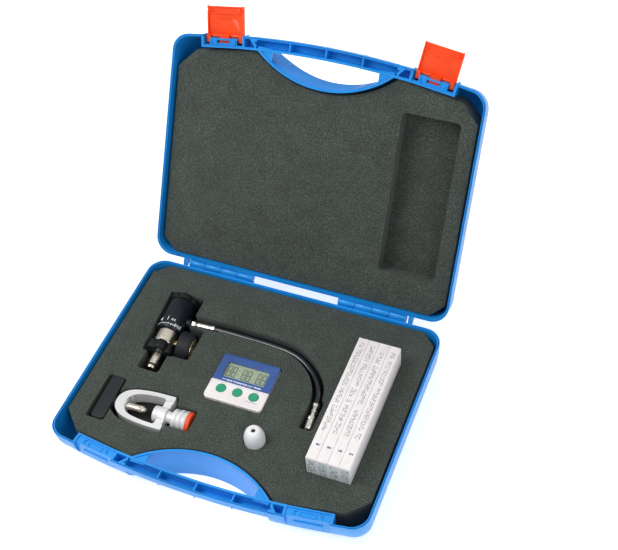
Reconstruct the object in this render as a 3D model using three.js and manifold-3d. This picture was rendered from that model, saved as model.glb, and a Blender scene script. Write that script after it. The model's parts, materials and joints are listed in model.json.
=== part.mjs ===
// Breathing-air test kit in a moulded carry case: a blue two-shell case on rear hinges with two snap latches,
// shaped foam in both halves, and the kit that the foam holds. Millimetres, +Z up.
// Case frame: x across, y = 0 at the rear rim edge and negative to the front, z = 0 at the parting plane.
// The whole case frame is lifted and shifted so that the origin is the middle of the flat underside.

import * as THREE from "three";
import { mergeVertices } from "three/addons/utils/BufferGeometryUtils.js";
import Module from "manifold-3d";

// ---------- driving dimensions ----------
const CASE_WIDTH = 340;
const HALF_HEIGHT = 41.5; // each shell; 83 closed
const FRONT_Y = -260.5; // middle of the bowed front
const BOW_RADIUS = 907;
const CORNER_RADIUS = 19;
const WALL = 2.4;
const FLOOR = 2.5;
const LID_OPEN = THREE.MathUtils.degToRad(119.8);
const HINGE_Y = 4.05;
const HINGE_Z = 2.3;
const ORIGIN_Y = -130;
const GAP = 0.3;
const RIM_GAP = 0.1; // between the two rims of the closed case

const GRIP_DEPTH = 13.5; // front to back of the carry bar
const GRIP_HEIGHT = 14;
const GRIP_HALF = 91;
const HOLE_HALF = 76;
const HOLE_ARC_RADIUS = 109;
const HOLE_ARC_Y = -327.5;

const LATCH_X = 114.5;
const LATCH_WIDTH = 41;
const LATCH_RECESS = 4;
const LATCH_PIVOT_Z = 9;
const LATCH_PIVOT_DEPTH = 2.2;
const LATCH_LENGTH = 30;
const HOOK_REACH = 23.6; // from the latch's pivot to the far side of its inner hook

const BASE_FOAM_TOP = -3.5;
const LID_FOAM_FACE = 6;
const FOAM_HALF_WIDTH = 164;

const KNUCKLE_RADIUS = 3.4;
const KNUCKLE_LENGTH = 19;
const HINGE_INNER_X = 50;
const PIN_RADIUS = 1.1;

const wasm = await Module();
wasm.setup();

// ---------- solids: three.js geometry joined and cut by manifold-3d ----------
function bare(geometry) {
  const copy = geometry.index ? geometry.toNonIndexed() : geometry.clone();
  for (const name of Object.keys(copy.attributes)) if (name !== "position") copy.deleteAttribute(name);
  const merged = mergeVertices(copy, 1e-4);
  const ids = merged.index.array;
  const kept = [];
  for (let i = 0; i < ids.length; i += 3) {
    const [a, b, c] = [ids[i], ids[i + 1], ids[i + 2]];
    if (a !== b && b !== c && a !== c) kept.push(a, b, c);
  }
  merged.setIndex(kept);
  return merged;
}

function volume(geometry) {
  const p = geometry.attributes.position;
  const ids = geometry.index.array;
  const [a, b, c] = [new THREE.Vector3(), new THREE.Vector3(), new THREE.Vector3()];
  let sum = 0;
  for (let i = 0; i < ids.length; i += 3) {
    a.fromBufferAttribute(p, ids[i]);
    b.fromBufferAttribute(p, ids[i + 1]);
    c.fromBufferAttribute(p, ids[i + 2]);
    sum += a.dot(b.cross(c));
  }
  return sum / 6;
}

// A closed position-only mesh with its faces turned outwards.
function closed(geometry) {
  const mesh = bare(geometry);
  if (volume(mesh) < 0) {
    const ids = mesh.index.array;
    for (let i = 0; i < ids.length; i += 3) [ids[i], ids[i + 1]] = [ids[i + 1], ids[i]];
  }
  return mesh;
}

function toManifold(geometry) {
  const mesh = closed(geometry);
  return new wasm.Manifold(
    new wasm.Mesh({
      numProp: 3,
      vertProperties: Float32Array.from(mesh.attributes.position.array),
      triVerts: Uint32Array.from(mesh.index.array),
    }),
  );
}

function toGeometry(body) {
  const mesh = body.getMesh();
  const geometry = new THREE.BufferGeometry();
  geometry.setAttribute("position", new THREE.BufferAttribute(Float32Array.from(mesh.vertProperties), 3));
  geometry.setIndex(Array.from(mesh.triVerts));
  return geometry;
}

const SLIVER = 0.01; // edges that a join or cut leaves shorter than this are closed up
const join = (...parts) =>
  toGeometry(parts.map(toManifold).reduce((a, b) => a.add(b)).simplify(SLIVER));
const cut = (body, ...tools) =>
  toGeometry(tools.map(toManifold).reduce((a, b) => a.subtract(b), toManifold(body)).simplify(SLIVER));
const common = (a, b) => toGeometry(toManifold(a).intersect(toManifold(b)).simplify(SLIVER));

// ---------- plain shapes ----------
const block = (x0, x1, y0, y1, z0, z1) =>
  new THREE.BoxGeometry(x1 - x0, y1 - y0, z1 - z0).translate((x0 + x1) / 2, (y0 + y1) / 2, (z0 + z1) / 2);

const prism = (shape, z0, z1, curveSegments = 4) =>
  new THREE.ExtrudeGeometry(shape, { depth: z1 - z0, bevelEnabled: false, curveSegments })
    .translate(0, 0, z0);

const polygon = (points) => new THREE.Shape(points.map(([x, y]) => new THREE.Vector2(x, y)));

function roundedRect(x0, x1, y0, y1, r) {
  const s = new THREE.Shape();
  s.moveTo(x0 + r, y0);
  s.lineTo(x1 - r, y0).absarc(x1 - r, y0 + r, r, -Math.PI / 2, 0);
  s.lineTo(x1, y1 - r).absarc(x1 - r, y1 - r, r, 0, Math.PI / 2);
  s.lineTo(x0 + r, y1).absarc(x0 + r, y1 - r, r, Math.PI / 2, Math.PI);
  s.lineTo(x0, y0 + r).absarc(x0 + r, y0 + r, r, Math.PI, 1.5 * Math.PI);
  return s;
}

// Turns shapes made about the Y axis so that their axis is +X, or leaves them upright along +Z.
const alongX = (geometry) => geometry.rotateZ(-Math.PI / 2);
const alongZ = (geometry) => geometry.rotateX(Math.PI / 2);

// A turned piece about +X from [x, radius] pairs; the ends close onto the axis.
function turned(profile, sides = 24) {
  const first = profile[0][0];
  const last = profile[profile.length - 1][0];
  const points = [[first, 0], ...profile, [last, 0]].map(([x, r]) => new THREE.Vector2(r, x));
  return alongX(new THREE.LatheGeometry(points, sides));
}

const rod = (radius, x0, x1, sides = 24) => turned([[x0, radius], [x1, radius]], sides);

const oRing = (radius, wire) => new THREE.TorusGeometry(radius, wire, 6, 20).rotateY(Math.PI / 2);

// A ring or sleeve about +X from a closed loop of [x, radius] pairs.
function ring(loop, sides = 24) {
  const points = [...loop, loop[0]].map(([x, r]) => new THREE.Vector2(r, x));
  return alongX(new THREE.LatheGeometry(points, sides));
}

// A round grip with lobes, extruded along +X.
function lobed(radius, depth, count, x0, x1) {
  const points = [];
  const steps = count * 6;
  for (let i = 0; i < steps; i++) {
    const a = (i / steps) * 2 * Math.PI;
    const r = radius - depth * (0.5 - 0.5 * Math.cos(count * a)) ** 2;
    points.push([r * Math.cos(a), r * Math.sin(a)]);
  }
  return prism(polygon(points), x0, x1).rotateY(Math.PI / 2);
}

const hexagon = (across, x0, x1) =>
  new THREE.CylinderGeometry(across / Math.sqrt(3), across / Math.sqrt(3), x1 - x0, 6)
    .translate(0, (x0 + x1) / 2, 0)
    .rotateZ(-Math.PI / 2);

// ---------- case outline ----------
const front = (x) => FRONT_Y + BOW_RADIUS - Math.sqrt(BOW_RADIUS ** 2 - x ** 2);

// One closed ring of the case outline, pulled in by its own inset at the sides, back and front.
function outlineRing(side, back, ahead, z) {
  const points = [];
  const half = CASE_WIDTH / 2 - side;
  const r = Math.max(CORNER_RADIUS - side * 0.5, 6);
  const corner = (cx, cy, from) => {
    for (let i = 0; i <= 4; i++) {
      const a = from + (i / 4) * (Math.PI / 2);
      points.push([cx + r * Math.cos(a), cy + r * Math.sin(a)]);
    }
  };
  const cornerFront = front(half - r) + ahead + r;
  corner(half - r, -back - r, 0);
  corner(-half + r, -back - r, Math.PI / 2);
  corner(-half + r, cornerFront, Math.PI);
  const steps = 10;
  for (let i = 1; i < steps; i++) {
    const x = (half - r) * ((2 * i) / steps - 1);
    points.push([x, front(x) + ahead]);
  }
  corner(half - r, cornerFront, 1.5 * Math.PI);
  return points.map(([x, y]) => [x, y, z]);
}

// A closed solid through a stack of rings with equal point counts, listed downwards.
function loft(rings) {
  const n = rings[0].length;
  const positions = rings.flat(2);
  const ids = [];
  for (let k = 0; k + 1 < rings.length; k++) {
    for (let i = 0; i < n; i++) {
      const [a, b] = [k * n + i, k * n + ((i + 1) % n)];
      ids.push(a, a + n, b, b, a + n, b + n);
    }
  }
  const cap = (ring, offset, flip) => {
    const flat = ring.map(([x, y]) => new THREE.Vector2(x, y));
    for (const [a, b, c] of THREE.ShapeUtils.triangulateShape(flat, [])) {
      ids.push(offset + a, offset + (flip ? c : b), offset + (flip ? b : c));
    }
  };
  cap(rings[0], 0, false);
  cap(rings[rings.length - 1], (rings.length - 1) * n, true);
  const geometry = new THREE.BufferGeometry();
  geometry.setAttribute("position", new THREE.Float32BufferAttribute(positions, 3));
  geometry.setIndex(ids);
  return closed(geometry);
}

// Depth below the rim with the insets of the outer wall there: side, back, front.
const WALL_PROFILE = [
  [0, 0, 0, 0],
  [10, 0.4, 0.4, 1],
  [21, 1.1, 1.1, 3.9],
  [30, 2.6, 2.6, 8.8],
  [37.5, 7, 7, 16.4],
  [HALF_HEIGHT, 15, 15, 28],
];
const shellOuter = () => loft(WALL_PROFILE.map(([d, s, b, f]) => outlineRing(s, b, f, -d)));

// The wall's inner face, moved in by a clearance for the foam.
function shellInner(clearance, top) {
  const inset = WALL + clearance;
  const squeeze = (HALF_HEIGHT - FLOOR - clearance) / HALF_HEIGHT;
  return loft(WALL_PROFILE.map(([d, s, b, f]) =>
    outlineRing(s + inset, b + inset, f + inset, d === 0 ? top : -d * squeeze)));
}

// A bar of constant section [inset from the front, z] that follows the bowed front from x0 to x1.
function bowBar(loop, x0, x1, steps = 10) {
  const turns = THREE.ShapeUtils.isClockWise(loop.map(([inset, z]) => new THREE.Vector2(inset, z)));
  const section = turns ? [...loop].reverse() : loop;
  const shape = section.map(([inset, z]) => new THREE.Vector2(inset, z));
  const n = shape.length;
  const positions = [];
  const ids = [];
  for (let i = 0; i <= steps; i++) {
    const x = x0 + ((x1 - x0) * i) / steps;
    for (const [inset, z] of section) positions.push(x, front(x) + inset, z);
  }
  for (let i = 0; i < steps; i++) {
    for (let j = 0; j < n; j++) {
      const [a, b] = [i * n + j, i * n + ((j + 1) % n)];
      ids.push(a, b, a + n, b, b + n, a + n);
    }
  }
  for (const [a, b, c] of THREE.ShapeUtils.triangulateShape(shape, [])) {
    ids.push(a, c, b, steps * n + a, steps * n + b, steps * n + c);
  }
  const geometry = new THREE.BufferGeometry();
  geometry.setAttribute("position", new THREE.Float32BufferAttribute(positions, 3));
  geometry.setIndex(ids);
  return closed(geometry);
}

// Segment of a circle about the finger hole's centre, cut off by the line y = low.
function holeSegment(radius, low) {
  const half = Math.sqrt(radius ** 2 - (low - HOLE_ARC_Y) ** 2);
  const points = [];
  const steps = 12;
  const start = Math.atan2(low - HOLE_ARC_Y, half);
  for (let i = 0; i <= steps; i++) {
    const a = start + ((Math.PI - 2 * start) * i) / steps;
    points.push([radius * Math.cos(a), HOLE_ARC_Y + radius * Math.sin(a)]);
  }
  return polygon(points);
}

// The place of a latch on the bowed front: local x along the front, local y into the case.
function atLatch(geometry, side) {
  const x = side * LATCH_X;
  return geometry.rotateZ(Math.asin(x / BOW_RADIUS)).translate(x, front(x), 0);
}

const POCKET_HALF = LATCH_WIDTH / 2 + 1.5;
const POCKET_DEPTH = 27;

function latchPocketWalls(side) {
  const wide = POCKET_HALF + WALL;
  return [
    block(-wide, wide, 0, GRIP_DEPTH, -2.2, 0),
    block(-wide, wide, 0, LATCH_RECESS + 2.2, -POCKET_DEPTH - 2.2, 0),
    block(-wide, wide, GRIP_DEPTH - 2.2, GRIP_DEPTH, -9, 0),
    block(-wide, -POCKET_HALF + 0.4, 0, GRIP_DEPTH, -16, 0),
    block(POCKET_HALF - 0.4, wide, 0, GRIP_DEPTH, -16, 0),
  ].map((wall) => atLatch(wall, side));
}

// One half of the case below the parting plane, without hinge and latch fittings.
function halfShell() {
  const outer = shellOuter();
  const hollow = cut(outer, shellInner(0, 1));
  const arcWall = cut(
    prism(holeSegment(HOLE_ARC_RADIUS + WALL, -256), -HALF_HEIGHT, 0),
    prism(holeSegment(HOLE_ARC_RADIUS, -262), -HALF_HEIGHT - 1, 1),
  );
  const endWalls = [-1, 1].map((s) => {
    const [a, b] = [s * (HOLE_HALF - 1), s * (HOLE_HALF + WALL)];
    return block(Math.min(a, b), Math.max(a, b), FRONT_Y - 2, FRONT_Y + 16, -HALF_HEIGHT, -0.5);
  });
  const liners = [-1, 1].flatMap(latchPocketWalls);
  const lined = common(join(hollow, arcWall, ...endWalls, ...liners), outer);
  const ahead = [[-8, 2], [GRIP_DEPTH, 2], [GRIP_DEPTH, -60], [-8, -60]];
  const opened = cut(
    lined,
    prism(holeSegment(HOLE_ARC_RADIUS, FRONT_Y + 8), -60, 2),
    bowBar(ahead, -HOLE_HALF, HOLE_HALF),
  );
  const floor = GRIP_HEIGHT - WALL;
  const grip = bowBar(
    [
      [0.25, 0], [WALL, 0], [WALL, -floor + 4], [6, -floor], [GRIP_DEPTH - WALL, -floor],
      [GRIP_DEPTH - WALL, 0], [GRIP_DEPTH, 0], [GRIP_DEPTH, -GRIP_HEIGHT + 2], [GRIP_DEPTH - 2, -GRIP_HEIGHT],
      [6.5, -GRIP_HEIGHT], [3.4, -GRIP_HEIGHT + 1.2], [1.4, -GRIP_HEIGHT + 3.4], [0.5, -6],
    ],
    -GRIP_HALF,
    GRIP_HALF,
    12,
  );
  const ribs = [-GRIP_HALF, -39.3, 0, 39.3, GRIP_HALF].map((x) =>
    bowBar([[1, -0.8], [GRIP_DEPTH - 1, -0.8], [GRIP_DEPTH - 1, -floor - 0.5], [1, -floor - 0.5]],
      x - 0.8, x + 0.8, 1));
  const webs = [-1, 1].map((s) => {
    const [a, b] = [s * 58, s * 74];
    const corner = block(Math.min(a, b), Math.max(a, b), -247.5, -232, -3.2, -1);
    return common(corner, prism(holeSegment(HOLE_ARC_RADIUS + 1, FRONT_Y + 8), -5, 1));
  });
  const whole = join(opened, grip, ...ribs, ...webs);
  const recess = () => block(-POCKET_HALF, POCKET_HALF, -12, LATCH_RECESS, -POCKET_DEPTH, 2);
  return cut(whole, atLatch(recess(), -1), atLatch(recess(), 1));
}

function mirrorZ(geometry) {
  return closed(geometry.clone().scale(1, 1, -1));
}

// ---------- hinge ----------
const knuckleStarts = [3, 2, 1, 0].map((i) => HINGE_INNER_X + i * (KNUCKLE_LENGTH + 0.4));
const baseKnuckles = [knuckleStarts[0], knuckleStarts[2]];
const lidKnuckles = [knuckleStarts[1], knuckleStarts[3]];

function spanned(start, side) {
  const [a, b] = [side * start, side * (start + KNUCKLE_LENGTH)];
  return [Math.min(a, b), Math.max(a, b)];
}

const atHinge = (geometry) => geometry.translate(0, HINGE_Y, HINGE_Z);

// An extrusion along x of a section in the y-z plane.
const slab = (section, x0, x1) =>
  prism(polygon(section), x0, x1).applyMatrix4(
    new THREE.Matrix4().set(0, 0, 1, 0, 1, 0, 0, 0, 0, 1, 0, 0, 0, 0, 0, 1),
  );

function knuckles(starts, web) {
  return [-1, 1].flatMap((side) =>
    starts.flatMap((start) => {
      const [x0, x1] = spanned(start, side);
      return [atHinge(rod(KNUCKLE_RADIUS, x0, x1, 12)), slab(web, x0, x1)];
    }));
}

const pinBores = (radius) =>
  [-1, 1].map((side) => {
    const ends = [side * (HINGE_INNER_X - 6), side * (knuckleStarts[0] + KNUCKLE_LENGTH + 6)];
    return atHinge(rod(radius, Math.min(...ends), Math.max(...ends), 8));
  });

// Sections of the hinge's webs and stops, as [y, z].
const BASE_WEB = [
  [-1.4, -8], [3.5, -3.2], [6.2, 0.2], [HINGE_Y, HINGE_Z], [0.45, HINGE_Z], [0.45, -0.2], [-1.4, -0.2],
];
const TROUGH = [
  [-1.4, -8], [3.5, -3.4], [4.3, -2.2], [HINGE_Y, -1.6], [2.15, -1.1], [0.6, -0.2], [-1.4, -0.2],
];
const LID_WEB = [[-1.4, 10], [3.2, 7.5], [6, 5], [HINGE_Y, HINGE_Z], [0.45, 1], [0.45, 0.4], [-1.4, 0.4]];
const LID_STOP = [[-1.4, 6], [3.5, 5.6], [8.3, 2.6], [8.3, 0.6], [HINGE_Y, -0.6], [0.45, 0.4], [-1.4, 0.4]];

function caseBase() {
  const catches = [-1, 1].map((s) => atLatch(block(-14, 14, 2.9, 4.5, -12.2, -9.6), s));
  const troughs = [-1, 1].flatMap((side) =>
    lidKnuckles.map((start) => {
      const [x0, x1] = spanned(start, side);
      return slab(TROUGH, x0 - 0.5, x1 + 0.5);
    }));
  const whole = join(halfShell(), ...knuckles(baseKnuckles, BASE_WEB), ...troughs, ...catches);
  return cut(whole, ...pinBores(PIN_RADIUS + 0.25));
}

function caseLid() {
  const shell = cut(mirrorZ(halfShell()), block(-CASE_WIDTH, CASE_WIDTH, 2 * FRONT_Y, GAP, -1, RIM_GAP));
  const stops = [-1, 1].map((s) => {
    const [a, b] = [s * 129.5, s * 134.5];
    return slab(LID_STOP, Math.min(a, b), Math.max(a, b));
  });
  const ears = [-1, 1].flatMap((s) =>
    [-1, 1].map((e) => {
      const [a, b] = [e * POCKET_HALF, e * (POCKET_HALF + WALL)];
      return atLatch(block(Math.min(a, b), Math.max(a, b), 0.6, 6, 4, 14), s);
    }));
  const sockets = [-1, 1].map((s) =>
    atLatch(rod(PIN_RADIUS + GAP, -POCKET_HALF - 1.6, POCKET_HALF + 1.6, 12)
      .translate(0, LATCH_PIVOT_DEPTH, LATCH_PIVOT_Z), s));
  return cut(join(shell, ...knuckles(lidKnuckles, LID_WEB), ...stops, ...ears),
    ...pinBores(PIN_RADIUS + 0.3), ...sockets);
}

function hingePin(side) {
  const ends = [side * (HINGE_INNER_X + 0.5), side * (knuckleStarts[0] + KNUCKLE_LENGTH - 0.5)];
  return atHinge(rod(PIN_RADIUS, Math.min(...ends), Math.max(...ends), 8));
}

// A snap latch in its open place: the plate points forwards from its pivot, walls and hook on the inner side.
function latch() {
  const half = LATCH_WIDTH / 2;
  const face = 2.2;
  const plate = block(-half, half, -LATCH_LENGTH, -1.4, face - 1.6, face);
  const walls = [-1, 1].map((s) => {
    const [a, b] = [s * (half - 1.4), s * half];
    return block(Math.min(a, b), Math.max(a, b), -LATCH_LENGTH, 0.8, -1.3, face);
  });
  const hook = block(-half + 3, half - 3, -HOOK_REACH, -HOOK_REACH + 1.2, -1, face - 1);
  const lip = block(-half, half, -LATCH_LENGTH, -LATCH_LENGTH + 1.3, -0.2, face);
  const barrel = rod(1.7, -half, half, 12);
  return join(plate, ...walls, hook, lip, block(-half, half, -1.6, 0, -0.8, face), barrel);
}

// ---------- foam ----------
function foamOutline() {
  const s = new THREE.Shape();
  const w = FOAM_HALF_WIDTH;
  const arc = HOLE_ARC_RADIUS + WALL + 3.6;
  const endX = 77;
  const endA = Math.acos(endX / arc);
  s.moveTo(-w, -18);
  s.lineTo(-w + 15, -3.6).lineTo(w - 15, -3.6).lineTo(w, -18).lineTo(w, -212).lineTo(w - 19, -231.5);
  s.lineTo(endX, HOLE_ARC_Y + arc * Math.sin(endA));
  s.absarc(0, HOLE_ARC_Y, arc, endA, Math.PI - endA, false);
  s.lineTo(-w + 19, -231.5).lineTo(-w, -212);
  return s;
}

// Foam block of the base half, before its pockets are cut.
function foamBlock(top) {
  return common(prism(foamOutline(), -HALF_HEIGHT, top, 14), shellInner(0.8, 0.5));
}

// ---------- regulator set: local x from the knob to the inlet nipple, local y towards the hose ----------
const REG_X = -114.7;
const REG_Y = -28.2;
const REG_Z = -11.5;
const REG_TURN = THREE.MathUtils.degToRad(-87.4);
const BODY_RADIUS = 15.2;
const KNOB_RADIUS = 16.4;
const KNOB_START = 10.5;
const KNOB_END = 18.5;
const BODY_END = 59;
const CHROME_END = 76;
const COLLAR_END = 88;
const NIPPLE_END = 108;
const CHROME_RADIUS = 11.8;
const PORT_S = 40; // hose port
const PORT_END = 19.5;
const GAUGE_S = 69;
const GAUGE_DIP = THREE.MathUtils.degToRad(9);
const GAUGE_RADIUS = 17.2;
const GAUGE_BACK = 19.5;
const GAUGE_FRONT = 31.5;
const BOOT_BACK = -3.5; // from the gauge case

const regulatorParts = () => {
  const knob = cut(
    lobed(KNOB_RADIUS, 2.1, 6, KNOB_START, KNOB_END),
    rod(4.6, KNOB_START + 3, KNOB_END + 1, 16),
  );
  const screw = rod(4, KNOB_START + 3.4, 30, 16);
  const body = cut(
    join(
      turned([
        [KNOB_END + GAP, 14.6], [KNOB_END + 1.4, BODY_RADIUS], [BODY_END - 1, BODY_RADIUS], [BODY_END, 14.6],
      ], 28),
      rod(5.6, 8, PORT_END, 16).rotateZ(Math.PI / 2).translate(PORT_S, 0, 0),
    ),
    rod(4.4, KNOB_END - 4, 25, 16),
    rod(10.5, 24, BODY_END - 6, 20),
    rod(4.4, BODY_END - 8, BODY_END + 2, 16),
  );
  const spring = rangeSpring(31.5, 42, 7.6, 1.1, 4);
  const piston = turned([[43.6, 9.8], [48.5, 9.8], [48.5, 4], [BODY_END - 1.5, 4]], 20);
  const chrome = cut(
    turned([
      [BODY_END + GAP, CHROME_RADIUS], [CHROME_END - 1, CHROME_RADIUS], [CHROME_END, CHROME_RADIUS - 0.8],
    ]),
    rod(3.3, 0, 14, 12).rotateZ(Math.PI / 2).rotateX(-GAUGE_DIP).translate(GAUGE_S, 0, 0),
  );
  const collar = cut(
    lobed(15.4, 2, 6, CHROME_END + GAP, COLLAR_END),
    rod(6.4, CHROME_END, COLLAR_END + 1, 20),
  );
  const nipple = turned([
    [CHROME_END + GAP, 6], [NIPPLE_END - 5, 6], [NIPPLE_END - 5, 3.9], [NIPPLE_END - 3.2, 3.9],
    [NIPPLE_END - 3.2, 5.4], [NIPPLE_END - 0.8, 5.2], [NIPPLE_END, 4.6],
  ]);
  const ringSeal = oRing(4.9, 0.8).translate(NIPPLE_END - 4.1, 0, 0);
  return { knob, screw, body, spring, piston, chrome, collar, nipple, ringSeal };
};

function rangeSpring(x0, x1, radius, wire, turns) {
  const points = [];
  const steps = turns * 8;
  for (let i = 0; i <= steps; i++) {
    const a = (i / 8) * 2 * Math.PI;
    points.push(new THREE.Vector3(x0 + ((x1 - x0) * i) / steps, radius * Math.cos(a), radius * Math.sin(a)));
  }
  const section = new THREE.Shape().absarc(0, 0, wire, 0, 2 * Math.PI);
  const extrudePath = new THREE.CatmullRomCurve3(points);
  return new THREE.ExtrudeGeometry(section, { steps, extrudePath, curveSegments: 3, bevelEnabled: false });
}

// Gauge pieces about local +x of their own, which points at the reader.
function gaugeParts() {
  const depth = GAUGE_FRONT - GAUGE_BACK;
  const stem = join(rod(3, -GAUGE_BACK + 6, -2, 12), hexagon(9, -GAUGE_BACK + CHROME_RADIUS + 0.5, -3.8));
  const boot = ring([
    [BOOT_BACK, 5], [BOOT_BACK, GAUGE_RADIUS - 1.6], [BOOT_BACK + 1.6, GAUGE_RADIUS],
    [depth - 0.8, GAUGE_RADIUS], [depth, GAUGE_RADIUS - 0.8], [depth, 14.2], [2, 14.2], [2, 5],
  ], 20);
  const shell = ring([
    [2.3, 1], [2.3, 13.9], [depth + 0.4, 13.9], [depth + 0.4, 12.7], [3.6, 12.7], [3.6, 1],
  ]);
  const dial = ring([[6, 1], [6, 12.3], [6.6, 12.3], [6.6, 1]]);
  const needle = join(rod(1.6, 7, 8.2, 12), block(7.3, 7.9, -4, 10, -0.5, 0.5), rod(0.7, 4.2, 8, 8));
  const lens = rod(12.3, depth - 1.6, depth - 0.4);
  return { stem, boot, shell, dial, needle, lens };
}

// ---------- hose ----------
const HOSE_RADIUS = 4.7;
const HOSE_Z = REG_Z;
// The route lies in the foam's channel, from the union on the regulator to the coupler.
const HOSE_ROUTE = [
  [-65.9, -66], [-58, -65.8], [-50, -65.7], [-40, -65.8], [-25, -66], [-10, -66.2],
  [4, -66.9], [16, -68], [27.5, -70.4], [38.5, -74.8], [48, -80.8], [56, -87.6],
  [63, -95.8], [68, -104.5], [71.2, -113.5], [72.3, -121.5],
];
function hoseCurve() {
  const points = HOSE_ROUTE.map(([x, y]) => new THREE.Vector3(x, y, HOSE_Z));
  return new THREE.CatmullRomCurve3(points, false, "centripetal");
}

function hose() {
  const section = new THREE.Shape();
  const sides = 10;
  for (let i = 0; i < sides; i++) {
    const a = (i / sides) * 2 * Math.PI;
    const [x, y] = [HOSE_RADIUS * Math.cos(a), HOSE_RADIUS * Math.sin(a)];
    if (i === 0) section.moveTo(x, y);
    else section.lineTo(x, y);
  }
  return new THREE.ExtrudeGeometry(section, { steps: 26, extrudePath: hoseCurve(), bevelEnabled: false });
}

// The plan outline of a channel of the given half width along the hose.
function channelOutline(halfWidth) {
  const curve = hoseCurve();
  const sides = [[], []];
  const steps = 22;
  for (let i = 0; i <= steps; i++) {
    const p = curve.getPoint(i / steps);
    const t = curve.getTangent(i / steps);
    sides[0].push([p.x - t.y * halfWidth, p.y + t.x * halfWidth]);
    sides[1].unshift([p.x + t.y * halfWidth, p.y - t.x * halfWidth]);
  }
  return polygon([...sides[0], ...sides[1]]);
}

// Coupler pieces: local x from the hose's end outwards.
const COUPLER_TURN = Math.atan2(-32, 2.8);
function couplerParts() {
  const ferrule = join(rod(5.1, 2 * GAP, 2, 20), rod(3.6, 1.2, 8, 16));
  const body = turned([[8 + GAP, 3.4], [9.6, 4.6], [14, 4.6], [14, 3.5], [30, 3.5], [31, 3]], 20);
  const sleeve = ring([[16.6, 3.8], [16.6, 5], [19, 5.4], [31.6, 5.4], [32, 5.1], [32, 3.8]]);
  return { ferrule, body, sleeve };
}

// ---------- yoke adapter: local x from the handle to the dust cap ----------
const YOKE = { x: -85, y: -185.6, z: -10, turn: THREE.MathUtils.degToRad(1.2) };

function yokeParts() {
  const half = 7.2; // of the loop's thickness
  const outside = new THREE.Shape();
  outside.moveTo(-36.5, 0);
  outside.bezierCurveTo(-36.5, 9, -31, 14.5, -20, 17.4);
  outside.bezierCurveTo(-8, 20.2, 6, 20.6, 21, 20.4);
  outside.lineTo(22, 19.4).lineTo(22, 15.4).lineTo(20, 12);
  outside.lineTo(20, -12).lineTo(22, -15.4).lineTo(22, -19.4).lineTo(21, -20.4);
  outside.bezierCurveTo(6, -20.6, -8, -20.2, -20, -17.4);
  outside.bezierCurveTo(-31, -14.5, -36.5, -9, -36.5, 0);
  const inside = new THREE.Path();
  inside.moveTo(-26.5, 0);
  inside.bezierCurveTo(-26.5, -7.5, -22, -11.2, -15, -13.2);
  inside.bezierCurveTo(-7, -15.2, 2, -15.8, 12, -16);
  inside.lineTo(12, 16);
  inside.bezierCurveTo(2, 15.8, -7, 15.2, -15, 13.2);
  inside.bezierCurveTo(-22, 11.2, -26.5, 7.5, -26.5, 0);
  outside.holes.push(inside);
  const frame = cut(
    join(prism(outside, -half, half, 8), rod(6.6, -33, -25.4, 16)),
    rod(4.5, -45, -20, 16),
    rod(7.9, 10, 24, 20),
  );
  const screw = turned([[-41.7, 4], [-7.6, 4], [-5.8, 2.6], [-4.8, 2.6], [-3.8, 1.2]], 16);
  const bar = prism(roundedRect(-7.4, 7.4, -26, 26, 3.6), -6.6, 6.6, 3).translate(-46.9, 0, 0);
  const handle = cut(join(bar, rod(6.2, -41, -38, 16)), rod(4.3, -42, -37, 16));
  const sealGroove = ring([[4, 2.5], [4, 4.3], [7, 4.3], [7, 2.5]], 20);
  const outlet = cut(turned([
    [5.2, 5], [5.8, 8.6], [11.4, 8.6], [11.7, 7.5], [20.4, 7.5], [20.6, 6.2], [26.5, 6.2], [27.5, 10.4],
    [31.6, 10.8], [32.2, 9.6], [33.4, 9.6], [34, 11.3], [37.6, 11.3], [38.2, 10], [39.4, 10],
    [40, 11.3], [43, 11],
  ], 20), sealGroove);
  const seal = oRing(3.4, 0.75).translate(6.1, 0, 0);
  const cap = cut(turned([[43 + GAP, 11.2], [46.6, 11.2], [47.4, 10.4]], 28), rod(6, 46.8, 50, 20));
  return { frame, screw, handle, outlet, seal, cap };
}

// ---------- timer ----------
const TIMER = { x: -7, y: -125.4, width: 64, depth: 57.5, top: -1.5, thick: 13 };
const BUTTONS = [-17.6, 0.6, 18.8];
const BUTTON_Y = -14.2;
const BEZEL_LOW = -5.2;

function timerParts() {
  const [w, d] = [TIMER.width / 2, TIMER.depth / 2];
  const deck = TIMER.top - 2.2;
  const bottom = TIMER.top - TIMER.thick;
  const shell = cut(
    prism(roundedRect(-w, w, -d, d, 4), bottom, deck - GAP),
    prism(roundedRect(-w + 1.6, w - 1.6, -d + 1.6, d - 1.6, 2.6), bottom + 1.6, deck + 1),
  );
  const whole = () => prism(roundedRect(-w, w, -d, d, 4), deck, TIMER.top);
  const face = cut(
    common(whole(), block(-w - 1, w + 1, -d - 1, BEZEL_LOW - GAP, -20, 5)),
    ...BUTTONS.map((x) => rodZ(5.5, deck - 1, TIMER.top + 1, 20).translate(x, BUTTON_Y, 0)),
  );
  const window = block(-23.2, 23.2, 0.6, 19.6, -20, 5);
  const bezel = cut(common(whole(), block(-w - 1, w + 1, BEZEL_LOW, d + 1, -20, 5)), window);
  const display = block(-25.5, 25.5, -1.2, 21.6, deck - GAP - 1.6, deck - GAP);
  const board = block(-27, 27, -24, 24, deck - 5.2, deck - 4);
  const cell = rodZ(7.8, bottom + 1.9, bottom + 5.2, 20).translate(8, 4, 0);
  const buttons = BUTTONS.map((x) =>
    join(rodZ(5.1, deck - 0.6, TIMER.top + 0.7), rodZ(1.6, deck - 3.2, deck, 10))
      .translate(x, BUTTON_Y, 0));
  return { shell, face, bezel, display, board, cell, buttons };
}

const rodZ = (radius, z0, z1, sides = 20) =>
  alongZ(new THREE.CylinderGeometry(radius, radius, z1 - z0, sides)).translate(0, 0, (z0 + z1) / 2);

// ---------- tube opener ----------
const OPENER = { x: 32.5, y: -184.8, bottom: -13.5, top: 14, radius: 10.7 };

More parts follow.
